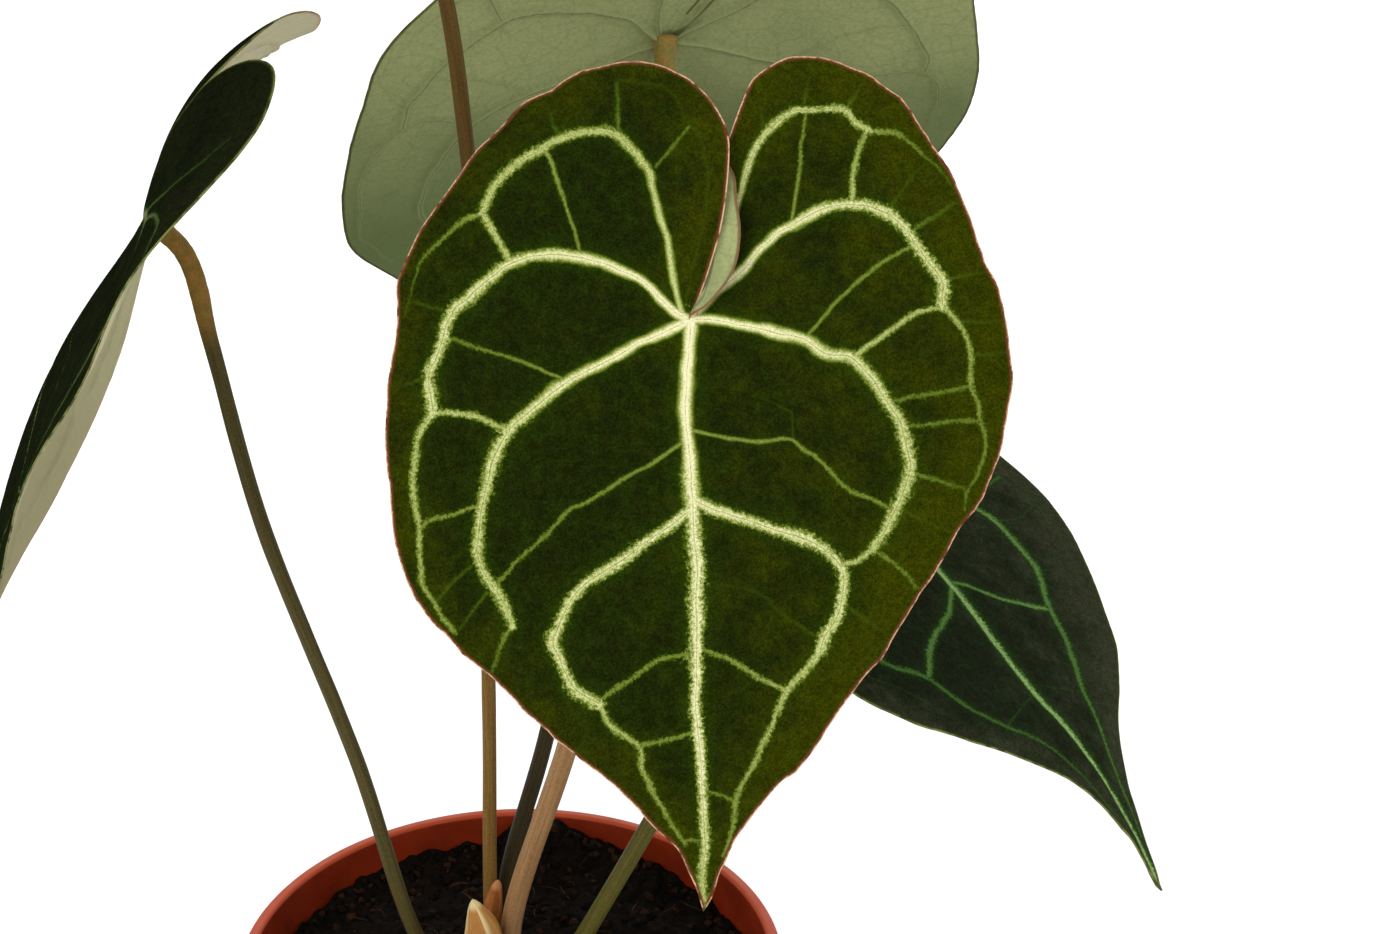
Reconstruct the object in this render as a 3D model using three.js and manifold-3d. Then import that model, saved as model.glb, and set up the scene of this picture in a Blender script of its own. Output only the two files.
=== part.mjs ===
// A potted anthurium clarinervium: five heart-shaped blades on long stalks,
// grown from one short crown that stands in a plastic pot of peat.
// Millimetres, +Z up, origin at the middle of the pot's underside, -Y is the front.

import * as THREE from "three";
import { mergeVertices } from "three/addons/utils/BufferGeometryUtils.js";
import Module from "manifold-3d";

const wasm = await Module();
wasm.setup();

// Pot
const POT_HEIGHT = 105;
const RIM_RADIUS = 60;
const RIM_DEPTH = 14;
const RIM_WIDTH = 2.9;
const BASE_RADIUS = 43;
const WALL = 1.8;
const FLOOR = 2;
const FOOT_LIFT = 2;
const FOOT_RING = 8;
const PAD_RADIUS = 14;
const DRAIN_COUNT = 8;
const DRAIN_RADIUS = 4;
const DRAIN_CIRCLE = 24.5;
const DRAIN_SIDES = 12;
const POT_SIDES = 48;

// Soil
const SOIL_TOP = 95.4;
const SOIL_EDGE_DROP = 0.9;
const SOIL_BUMP = 1.1;
const SOIL_SIDES = 40;
const SOIL_RINGS = 7;

// Pieces that touch keep this gap
const GAP = 0.3;
const STALK_GAP = 0.45;
const CUTTER_SIZE = 30;

// Crown and roots
const CROWN_AT = [-3.5, 0];
const CROWN_TOP = 99;
const CROWN_BASE = 70;
const CROWN_RADIUS = 10.5;
const CROWN_STRETCH = 1.22;
const CROWN_SIDES = 16;
const ROOT_COUNT = 6;
const ROOT_RADIUS = 2;
const ROOT_TIP_RADIUS = 1.1;
const ROOT_REACH = 27;
const ROOT_FOOT = 18;
const ROOT_SIDES = 6;
const ROOT_STEPS = 7;

// Blades and stalks
const BLADE_THICKNESS = 0.8;
const MARGIN_STEPS = 26;
const BLADE_RINGS = 5;
const BEND_STEPS = 10;
const CURVE_DIVISIONS = 400;
const STALK_SIDES = 8;
const STALK_STEPS = 16;
const STALK_FOOT = 95;
const FOOT_SWELL = 0.2;
const FOOT_SWELL_LENGTH = 14;
const GENICULUM_LENGTH = 20;
const GENICULUM_SWELL = 1.22;
const SHEATH_SIDES = 12;
const SHEATH_STEPS = 9;

// Zones of a blade in hundredths of its midrib: how far the lobes reach behind the stalk, the half
// width, where the tip starts to narrow and how slowly, and where the blade stands highest round
// the stalk.
// A half starts to fall away over FOLD_SOFTNESS millimetres beside the midrib.
const LOBE_REACH = 45;
const HALF_WIDTH = 55;
const TIP_START = 55;
const TIP_EASE = 1.45;
const HUMP_AT = 12;
const FOLD_SOFTNESS = 10;

// The margin of a blade in hundredths of its midrib, measured from the stalk's end:
// x to the blade's right, y towards the lobes. The left margin runs from the notch to the tip.
const LEFT_MARGIN = [
  [3.0, 7.5], [5.3, 16.4], [6.3, 25.9], [6.0, 31.1], [3.8, 35.9], [0.2, 40.2], [-4.3, 42.7],
  [-10.2, 43.6], [-16.0, 42.7], [-23.4, 38.7], [-32.2, 31.7], [-38.7, 24.0], [-45.4, 14.2],
  [-48.6, 6.0], [-49.7, -7.8], [-50.4, -15.2], [-49.7, -28.4], [-48.6, -39.2], [-44.6, -48.7],
  [-39.1, -54.6], [-33.7, -59.9], [-23.7, -69.3], [-14.2, -77.1], [-8.8, -82.1], [-2.0, -89.3],
  [1.2, -96.7], [2.3, -100],
];

// The right margin runs from the tip back to the notch.
const RIGHT_MARGIN = [
  [2.3, -100], [4.0, -97.0], [6.0, -91.3], [10.7, -83.3], [18.4, -75.3], [26.5, -63.6],
  [33.7, -53.8], [40.2, -43.6], [45.1, -34.9], [50.4, -25.9], [53.3, -12.0], [52.1, 1.5],
  [48.7, 10.5], [44.6, 22.5], [40.6, 29.5], [35.6, 37.4], [30.1, 41.6], [25.0, 44.1],
  [18.5, 44.9], [12.5, 42.6], [9.5, 39.1], [8.0, 35.1], [7.0, 29.5], [7.2, 25.9],
  [6.3, 16.4], [4.0, 7.5],
];

// Each leaf: where its stalk meets the blade, the directions that its tip and its upper face point in,
// and its midrib's length. fold is how far each half falls away from the midrib, in degrees, at the
// lobes, at the stalk and at the tip. curl adds to it towards the margin, bend curves the midrib
// towards the tip, lobe_bend curves the lobes back, rise lifts the blade round the stalk, slim
// narrows the tip, and mirror swaps the two halves. The stalk's way is given from the soil up.
const LEAVES = {
  front: {
    at: [39.9, -53.1, 283.2],
    tip: [0, -0.454, -0.891],
    face: [0, -0.891, 0.454],
    midrib: 106.4,
    fold_left: [6, 6, 6],
    fold_right: [6, 6, 6],
    curl: [0, 0],
    bend: 8,
    lobe_bend: 10,
    rise: [0, 0],
    slim: 0,
    width: 1.02,
    mirror: 1,
    stalk: [
      [1.2, -4.8, STALK_FOOT], [0.4, -4.6, 114.6], [14.1, -16, 169],
      [30.5, -34, 236], [36.5, -44, 268],
    ],
    stalk_radius: 2.2,
  },
  rear: {
    at: [34.3, 71.8, 292.7],
    tip: [-0.244, 0.515, -0.822],
    face: [-0.183, 0.808, 0.56],
    midrib: 132.5,
    fold_left: [11, 11, 11],
    fold_right: [11, 11, 11],
    curl: [0, 0],
    bend: 15,
    lobe_bend: 8,
    rise: [0, 0],
    slim: 0,
    width: 1.01,
    mirror: -1,
    stalk: [
      [-0.8, 7, STALK_FOOT], [-0.9, 7.5, 119.5], [8.8, 16, 155],
      [27, 48, 242], [33.6, 62, 279],
    ],
    stalk_radius: 1.8,
  },
  left: {
    at: [-68.4, 12.7, 275.8],
    tip: [-0.424, 0.05, -0.904],
    face: [-0.897, 0.114, 0.427],
    midrib: 123,
    fold_left: [30, 5, 22],
    fold_right: [28, 19, 32],
    curl: [-14, -17],
    bend: 17,
    lobe_bend: 43,
    rise: [15, 12],
    slim: 0,
    width: 1,
    mirror: 1,
    stalk: [
      [-12.5, 0, STALK_FOOT], [-20.5, -1, 112], [-31.5, 2, 155],
      [-49, 7, 210.5], [-57, 11, 249], [-61, 12.2, 268],
    ],
    stalk_radius: 1.6,
  },
  right: {
    at: [68, 11, 217.4],
    tip: [0.702, -0.631, -0.33],
    face: [0.422, -0.003, 0.906],
    midrib: 108.7,
    fold_left: [1, 1, 1],
    fold_right: [-1, -1, -1],
    curl: [7.5, -6],
    bend: 33,
    lobe_bend: 6,
    rise: [0, 0],
    slim: 0.45,
    width: 1,
    mirror: 1,
    stalk: [
      [7, -1.5, STALK_FOOT], [16.8, -2, 113.4], [32.5, 1, 143],
      [53, 6.5, 184], [63, 9.5, 204],
    ],
    stalk_radius: 1.9,
  },
  top: {
    at: [-35, -8, 390],
    tip: [-0.78, 0.48, -0.4],
    face: [-0.36, 0.15, 0.92],
    midrib: 116,
    fold_left: [10, 8, 10],
    fold_right: [8, 6, 10],
    curl: [4, 4],
    bend: 24,
    lobe_bend: 14,
    rise: [0, 0],
    slim: 0.1,
    width: 1,
    mirror: -1,
    stalk: [
      [-4.6, 3.2, STALK_FOOT], [-4.2, 3, 124], [-2.7, 0.6, 175],
      [-2.4, -6, 296], [-9, -8.3, 345], [-24, -8.4, 377],
    ],
    stalk_radius: 1.5,
  },
};

// Bud sheaths at the crown: their way up and the radius at the foot
const SHEATHS = {
  tan: { way: [[-5.6, -7.6, STALK_FOOT], [-5.6, -8.7, 108], [-6.9, -11, 128.5]], radius: 4.1 },
  brown: { way: [[-4.4, -1, STALK_FOOT], [-3.4, -1.2, 112], [-2, -1.3, 126.5]], radius: 1.9 },
};

const COLOURS = {
  pot: [0xa8432a, 0.55],
  soil: [0x17100b, 0.95],
  crown: [0x6f5636, 0.8],
  stalk: [0x6a5a34, 0.6],
  stalk_front: [0x8a6c46, 0.6],
  stalk_right: [0x646a2c, 0.6],
  blade: [0x1f3a12, 0.7],
  sheath_tan: [0xbe9155, 0.6],
  sheath_brown: [0x965a37, 0.6],
};

function material(name) {
  const [color, roughness] = COLOURS[name];
  return new THREE.MeshStandardMaterial({ color, roughness, metalness: 0 });
}

// A closed geometry with its shared corners merged, as a solid that can be joined and cut
function toSolid(geometry) {
  const bare = geometry.clone();
  bare.deleteAttribute("normal");
  bare.deleteAttribute("uv");
  const merged = mergeVertices(bare, 1e-4);
  const vertProperties = new Float32Array(merged.attributes.position.array);
  const triVerts = new Uint32Array(merged.index.array);
  return new wasm.Manifold(new wasm.Mesh({ numProp: 3, vertProperties, triVerts }));
}

function toGeometry(solid) {
  const mesh = solid.getMesh();
  const geometry = new THREE.BufferGeometry();
  geometry.setAttribute("position", new THREE.BufferAttribute(new Float32Array(mesh.vertProperties), 3));
  geometry.setIndex(new THREE.BufferAttribute(new Uint32Array(mesh.triVerts), 1));
  geometry.computeVertexNormals();
  return geometry;
}

function fromFaces(points, faces) {
  const geometry = new THREE.BufferGeometry();
  geometry.setAttribute("position", new THREE.Float32BufferAttribute(points.flat(), 3));
  geometry.setIndex(faces.flat());
  geometry.computeVertexNormals();
  return geometry;
}

// Smooth curve through points, as evenly spaced [x, y] pairs
function evenly(points, count) {
  const curve = new THREE.CatmullRomCurve3(points.map(([x, y]) => new THREE.Vector3(x, y, 0)));
  curve.curveType = "catmullrom";
  curve.arcLengthDivisions = CURVE_DIVISIONS;
  return curve.getSpacedPoints(count).map((p) => [p.x, p.y]);
}

// Turned solid with its axis along Z, from [radius, height] pairs that start and end on the axis
function turned(profile, sides) {
  const geometry = new THREE.LatheGeometry(profile.map(([r, z]) => new THREE.Vector2(r, z)), sides);
  return geometry.rotateX(Math.PI / 2);
}

// A value that runs smoothly from the lobes over the stalk to the tip
function blend([lobes, stalk, tip], y) {
  const up = THREE.MathUtils.smoothstep(y, 0, LOBE_REACH);
  const down = THREE.MathUtils.smoothstep(-y, 0, 100);
  return stalk + (lobes - stalk) * up + (tip - stalk) * down;
}

// Walk a curve that turns by angle(s) and return how far it got ahead and down
function walk(length, angle) {
  let ahead = 0;
  let down = 0;
  for (let k = 0; k < BEND_STEPS; k++) {
    const turn = angle((length * (k + 0.5)) / BEND_STEPS);
    ahead += (Math.cos(turn) * length) / BEND_STEPS;
    down += (Math.sin(turn) * length) / BEND_STEPS;
  }
  return { ahead, down, turn: angle(length) };
}

function axesOf(leaf) {
  const towardsLobes = new THREE.Vector3(...leaf.tip).normalize().negate();
  const face = new THREE.Vector3(...leaf.face);
  face.addScaledVector(towardsLobes, -face.dot(towardsLobes)).normalize();
  const across = new THREE.Vector3().crossVectors(towardsLobes, face);
  return { across, towardsLobes, face };
}

// Point and normal of a blade's middle surface for [x, y] in hundredths of the midrib
function onBlade(leaf, x, y) {
  const { across, towardsLobes, face } = axesOf(leaf);
  const slimming = Math.min(Math.max((-y - TIP_START) / (100 - TIP_START), 0), 1) ** TIP_EASE;
  const scale = leaf.midrib / 100;
  const side = x < 0 ? -1 : 1;
  const out = Math.abs(x) * scale * leaf.width * (1 - leaf.slim * Math.sin(Math.PI * slimming));
  const radians = THREE.MathUtils.degToRad;
  const hump = (s) => (s / (HUMP_AT * scale)) * Math.exp(1 - s / (HUMP_AT * scale));
  const towardsTip = (s) => radians(leaf.bend * (s / leaf.midrib) ** 1.5 - leaf.rise[1] * hump(s));
  const towardsLobe = (s) => radians((leaf.lobe_bend * s) / (LOBE_REACH * scale) - leaf.rise[0] * hump(s));
  const along = walk(Math.abs(y) * scale, y < 0 ? towardsTip : towardsLobe);
  const way = y < 0 ? -1 : 1;
  const up = face.clone().multiplyScalar(Math.cos(along.turn));
  up.addScaledVector(towardsLobes, way * Math.sin(along.turn));
  const fold = blend(side < 0 ? leaf.fold_left : leaf.fold_right, y);
  const curl = side < 0 ? leaf.curl[0] : leaf.curl[1];
  const soften = (s) => 1 - Math.exp(-s / FOLD_SOFTNESS);
  const fall = (s) => radians(fold * soften(s) + (curl * s) / (HALF_WIDTH * scale));
  const sideways = walk(out, fall);
  const point = new THREE.Vector3(...leaf.at);
  point.addScaledVector(towardsLobes, way * along.ahead);
  point.addScaledVector(face, -along.down);
  point.addScaledVector(across, side * sideways.ahead);
  point.addScaledVector(up, -sideways.down);
  const normal = up.clone().multiplyScalar(Math.cos(sideways.turn));
  normal.addScaledVector(across, side * Math.sin(sideways.turn));
  return { point, normal };
}

// A blade: rings of points that shrink from the margin to the stalk, on both faces
function bladeGeometry(leaf) {
  const left = evenly(LEFT_MARGIN, MARGIN_STEPS);
  const right = evenly(RIGHT_MARGIN, MARGIN_STEPS);
  const margin = [...left, ...right.slice(1)];
  const spokes = margin.length;
  const half = BLADE_THICKNESS / 2;
  const points = [];
  for (const lift of [half, -half]) {
    const middle = onBlade(leaf, 0, 0);
    points.push(middle.point.addScaledVector(middle.normal, lift).toArray());
    for (let ring = 1; ring <= BLADE_RINGS; ring++) {
      for (const [x, y] of margin) {
        const share = ring / BLADE_RINGS;
        const { point, normal } = onBlade(leaf, leaf.mirror * x * share, y * share);
        points.push(point.addScaledVector(normal, lift).toArray());
      }
    }
  }
  const layer = 1 + BLADE_RINGS * spokes;
  const at = (face, ring, spoke) => face * layer + (ring === 0 ? 0 : 1 + (ring - 1) * spokes + spoke);
  const faces = [];
  function quad(a, b, c, d) {
    faces.push([a, b, c], [a, c, d]);
  }
  for (let spoke = 0; spoke < spokes - 1; spoke++) {
    faces.push([at(0, 0, 0), at(0, 1, spoke), at(0, 1, spoke + 1)]);
    faces.push([at(1, 0, 0), at(1, 1, spoke + 1), at(1, 1, spoke)]);
    for (let ring = 1; ring < BLADE_RINGS; ring++) {
      const [a, b] = [at(0, ring, spoke), at(0, ring + 1, spoke)];
      const [c, d] = [at(0, ring + 1, spoke + 1), at(0, ring, spoke + 1)];
      quad(a, b, c, d);
      faces.push([a + layer, c + layer, b + layer], [a + layer, d + layer, c + layer]);
    }
    const [e, f] = [at(0, BLADE_RINGS, spoke), at(0, BLADE_RINGS, spoke + 1)];
    quad(e, e + layer, f + layer, f);
  }
  for (let ring = 0; ring < BLADE_RINGS; ring++) {
    const [a, b] = [at(0, ring, 0), at(0, ring + 1, 0)];
    quad(a, a + layer, b + layer, b);
    const [c, d] = [at(0, ring, spokes - 1), at(0, ring + 1, spokes - 1)];
    quad(d, d + layer, c + layer, c);
  }
  if (leaf.mirror < 0) faces.forEach((face) => face.reverse());
  return fromFaces(points, faces);
}

// A round stem that follows way, with its radius at each share of its length given by radiusAt
function stemGeometry(way, radiusAt, sides, steps) {
  const curve = new THREE.CatmullRomCurve3(way.map((p) => new THREE.Vector3(...p)));
  curve.arcLengthDivisions = CURVE_DIVISIONS;
  const frames = curve.computeFrenetFrames(steps, false);
  const points = [];
  for (let step = 0; step <= steps; step++) {
    const centre = curve.getPointAt(step / steps);
    for (let side = 0; side < sides; side++) {
      const turn = (2 * Math.PI * side) / sides;
      const radius = radiusAt(step / steps, curve.getLength());
      const point = centre.clone();
      point.addScaledVector(frames.normals[step], radius * Math.cos(turn));
      point.addScaledVector(frames.binormals[step], radius * Math.sin(turn));
      points.push(point.toArray());
    }
  }
  points.push(curve.getPointAt(0).toArray(), curve.getPointAt(1).toArray());
  const foot = points.length - 2;
  const head = points.length - 1;
  const faces = [];
  for (let side = 0; side < sides; side++) {
    const next = (side + 1) % sides;
    faces.push([foot, next, side]);
    faces.push([head, steps * sides + side, steps * sides + next]);
    for (let step = 0; step < steps; step++) {
      const low = step * sides;
      const high = low + sides;
      faces.push([low + side, low + next, high + next], [low + side, high + next, high + side]);
    }
  }
  return fromFaces(points, faces);
}

// A leaf's stalk, a little thicker at its foot and at the geniculum under the blade
function stalkSolid(leaf, grow) {
  const radiusAt = (share, length) => {
    const fromTop = (1 - share) * length;
    const swell = (GENICULUM_SWELL - 1) * THREE.MathUtils.smoothstep(GENICULUM_LENGTH - fromTop, -4, 6);
    const foot = FOOT_SWELL * Math.exp(-(share * length) / FOOT_SWELL_LENGTH);
    return leaf.stalk_radius * (1 + swell + foot) + grow;
  };
  const { face } = axesOf(leaf);
  const end = new THREE.Vector3(...leaf.at);
  const stem = toSolid(stemGeometry([...leaf.stalk, end.toArray()], radiusAt, STALK_SIDES, STALK_STEPS));
  const block = new THREE.BoxGeometry(CUTTER_SIZE, CUTTER_SIZE, CUTTER_SIZE);
  const facing = new THREE.Quaternion().setFromUnitVectors(new THREE.Vector3(0, 0, 1), face);
  block.applyQuaternion(facing);
  const under = end.addScaledVector(face, CUTTER_SIZE / 2 - BLADE_THICKNESS / 2 - STALK_GAP);
  block.translate(under.x, under.y, under.z);
  return stem.subtract(toSolid(block));
}

// A bud sheath, nearly even in width and rounded off at its tip
function sheathSolid(sheath, grow) {
  const rounded = (share) => Math.sqrt(1 - (0.985 * share) ** 3);
  const radiusAt = (share) => sheath.radius * (1 - 0.12 * share) * rounded(share) + grow;
  return toSolid(stemGeometry(sheath.way, radiusAt, SHEATH_SIDES, SHEATH_STEPS));
}

// The short crown with its thick roots; grow makes the same shape larger all round
function crownSolid(grow) {
  const height = CROWN_TOP - CROWN_BASE;
  const profile = [
    [0, CROWN_BASE - grow],
    [CROWN_RADIUS * 0.45 + grow, CROWN_BASE - grow],
    [CROWN_RADIUS * 0.8 + grow, CROWN_BASE + height * 0.2],
    [CROWN_RADIUS + grow, CROWN_BASE + height * 0.55],
    [CROWN_RADIUS * 0.98 + grow, CROWN_BASE + height * 0.85],
    [CROWN_RADIUS * 0.8 + grow, CROWN_TOP + grow],
    [0, CROWN_TOP + grow],
  ];
  const body = turned(profile, CROWN_SIDES);
  body.scale(CROWN_STRETCH, 1, 1);
  body.translate(...CROWN_AT, 0);
  let solid = toSolid(body);
  for (let k = 0; k < ROOT_COUNT; k++) {
    const turn = (2 * Math.PI * (k + 0.3)) / ROOT_COUNT;
    const reach = ROOT_REACH * (k % 2 ? 0.75 : 1);
    const foot = ROOT_FOOT + 9 * (k % 3);
    const along = (share, lean) => [
      CROWN_AT[0] + Math.cos(turn + lean) * reach * share,
      CROWN_AT[1] + Math.sin(turn + lean) * reach * share,
    ];
    const way = [
      [...along(0.15, 0), 78],
      [...along(0.5, 0.1), 70],
      [...along(0.85, 0.3), 50],
      [...along(1, 0.2), foot],
    ];
    const radiusAt = (share) => THREE.MathUtils.lerp(ROOT_RADIUS, ROOT_TIP_RADIUS, share) + grow;
    solid = solid.add(toSolid(stemGeometry(way, radiusAt, ROOT_SIDES, ROOT_STEPS)));
  }
  return solid;
}

// Inner radius of the pot's wall at a height
function innerRadius(z) {
  const share = (z - FOOT_LIFT) / (POT_HEIGHT - FOOT_LIFT);
  return THREE.MathUtils.lerp(BASE_RADIUS - WALL, RIM_RADIUS - RIM_WIDTH, share);
}

function potSolid() {
  const rimFoot = POT_HEIGHT - RIM_DEPTH;
  const floorTop = FOOT_LIFT + FLOOR;
  const underRim = innerRadius(rimFoot) + WALL;
  const profile = [
    [0, 0],
    [PAD_RADIUS, 0],
    [PAD_RADIUS + 1, FOOT_LIFT],
    [BASE_RADIUS - FOOT_RING, FOOT_LIFT],
    [BASE_RADIUS - FOOT_RING + 1, 0],
    [BASE_RADIUS - 1, 0],
    [BASE_RADIUS, 1],
    [underRim, rimFoot],
    [RIM_RADIUS - 1, rimFoot],
    [RIM_RADIUS, POT_HEIGHT - 1],
    [RIM_RADIUS - 0.9, POT_HEIGHT],
    [RIM_RADIUS - RIM_WIDTH + 0.7, POT_HEIGHT],
    [RIM_RADIUS - RIM_WIDTH, POT_HEIGHT - 0.8],
    [innerRadius(floorTop + 3), floorTop + 3],
    [innerRadius(floorTop) - 2, floorTop],
    [0, floorTop],
  ];
  let pot = toSolid(turned(profile, POT_SIDES));
  for (let k = 0; k < DRAIN_COUNT; k++) {
    const turn = (2 * Math.PI * (k + 0.5)) / DRAIN_COUNT;
    const drill = new THREE.CylinderGeometry(DRAIN_RADIUS, DRAIN_RADIUS, 3 * floorTop, DRAIN_SIDES);
    drill.rotateX(Math.PI / 2);
    drill.translate(DRAIN_CIRCLE * Math.cos(turn), DRAIN_CIRCLE * Math.sin(turn), floorTop / 2);
    pot = pot.subtract(toSolid(drill));
  }
  return pot;
}

// Lumps of peat: height of the soil's top over its mean level
function lump(x, y) {
  const broad = Math.sin(0.21 * x + 0.8) * Math.sin(0.24 * y + 2.1);
  const small = Math.sin(0.63 * x + 0.37 * y + 0.5) * Math.sin(0.58 * y - 0.31 * x + 1.7);
  return SOIL_BUMP * (0.7 * broad + 0.6 * small);
}

function soilSolid() {
  const floorTop = FOOT_LIFT + FLOOR;
  const points = [[0, 0, SOIL_TOP + lump(0, 0)]];
  const radius = innerRadius(SOIL_TOP) - GAP - 0.05;
  const levels = [];
  for (let ring = 1; ring <= SOIL_RINGS; ring++) {
    const share = ring / SOIL_RINGS;
    levels.push({ r: radius * share, z: (x, y) => SOIL_TOP + lump(x, y) - SOIL_EDGE_DROP * share ** 4 });
  }
  levels.push({ r: innerRadius(floorTop + 3) - GAP, z: () => floorTop + 3 + GAP });
  levels.push({ r: innerRadius(floorTop) - 2 - GAP, z: () => floorTop + GAP });
  for (const { r, z } of levels) {
    for (let side = 0; side < SOIL_SIDES; side++) {
      const turn = (2 * Math.PI * side) / SOIL_SIDES;
      const [x, y] = [r * Math.cos(turn), r * Math.sin(turn)];
      points.push([x, y, z(x, y)]);
    }
  }
  points.push([0, 0, floorTop + GAP]);
  const last = points.length - 1;
  const faces = [];
  for (let side = 0; side < SOIL_SIDES; side++) {
    const next = (side + 1) % SOIL_SIDES;
    faces.push([0, 1 + side, 1 + next]);
    for (let level = 0; level < levels.length - 1; level++) {
      const inner = 1 + level * SOIL_SIDES;
      const outer = inner + SOIL_SIDES;
      faces.push([inner + side, outer + side, outer + next], [inner + side, outer + next, inner + next]);
    }
    const bottom = 1 + (levels.length - 1) * SOIL_SIDES;
    faces.push([bottom + side, last, bottom + next]);
  }
  return toSolid(fromFaces(points, faces)).subtract(crownSolid(GAP));
}

const plant = new THREE.Group();

function place(name, geometry, colour) {
  const mesh = new THREE.Mesh(geometry, material(colour));
  mesh.name = name;
  plant.add(mesh);
}

// The crown and the soil have plain holes for what grows out of them
let crown = crownSolid(0);
let soil = soilSolid();
for (const leaf of Object.values(LEAVES)) {
  const hole = stalkSolid(leaf, GAP);
  crown = crown.subtract(hole);
  soil = soil.subtract(hole);
}
for (const sheath of Object.values(SHEATHS)) {
  const hole = sheathSolid(sheath, GAP);
  crown = crown.subtract(hole);
  soil = soil.subtract(hole);
}

place("pot", toGeometry(potSolid()), "pot");
place("soil", toGeometry(soil), "soil");
place("crown", toGeometry(crown), "crown");
for (const [name, leaf] of Object.entries(LEAVES)) {
  const colour = `stalk_${name}` in COLOURS ? `stalk_${name}` : "stalk";
  place(`petiole_${name}`, toGeometry(stalkSolid(leaf, 0)), colour);
  place(`blade_${name}`, bladeGeometry(leaf), "blade");
}
for (const [name, sheath] of Object.entries(SHEATHS)) {
  place(`sheath_${name}`, toGeometry(sheathSolid(sheath, 0)), `sheath_${name}`);
}

export default plant;
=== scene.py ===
"""Looks of a potted anthurium clarinervium: velvety heart-shaped leaves with a pale net of veins,
on long stalks that grow from a short crown in a red plastic pot of peat.

Lengths are millimetres in the frame of the part: +Z up, -Y the front. Leaf units are hundredths of a
blade's midrib: x across it, y along it, from the tip near -100 over the stalk's end at 0 to the lobes.
"""

import functools
import math
import bpy
import mathutils
import numpy as np
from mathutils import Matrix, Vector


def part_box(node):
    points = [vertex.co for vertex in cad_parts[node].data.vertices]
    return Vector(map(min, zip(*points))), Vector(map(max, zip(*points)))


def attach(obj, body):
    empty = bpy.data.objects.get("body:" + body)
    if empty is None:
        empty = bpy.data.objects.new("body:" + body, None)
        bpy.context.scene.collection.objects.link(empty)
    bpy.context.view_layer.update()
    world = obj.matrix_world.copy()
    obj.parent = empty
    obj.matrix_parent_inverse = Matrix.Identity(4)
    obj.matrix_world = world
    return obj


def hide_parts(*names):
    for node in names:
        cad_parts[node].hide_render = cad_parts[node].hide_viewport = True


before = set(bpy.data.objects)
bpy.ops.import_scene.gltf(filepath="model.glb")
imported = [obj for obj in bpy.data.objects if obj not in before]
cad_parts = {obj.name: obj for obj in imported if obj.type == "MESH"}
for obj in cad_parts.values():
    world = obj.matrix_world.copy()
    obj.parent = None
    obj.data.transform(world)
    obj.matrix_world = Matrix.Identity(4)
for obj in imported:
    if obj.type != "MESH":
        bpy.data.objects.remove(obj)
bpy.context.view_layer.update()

MM = 0.001

# The camera that the photo fits
CAMERA_AT = (41.7, -540.0, 501.7)
CAMERA_PITCH = 27.01
CAMERA_LENS = 77.14
SENSOR_WIDTH = 36.0

# Zones of a blade in leaf units
LOBE_REACH = 45.0
HALF_WIDTH = 55.0
TIP_START = 55.0
TIP_EASE = 1.45
HUMP_AT = 12.0
# How a blade folds and bends
FOLD_SOFTNESS = 10.0
BEND_STEPS = 10

BLADE_THICKNESS = 0.5
STALK_FOOT = 95.0
JOINT_LENGTH = 20.0

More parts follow.
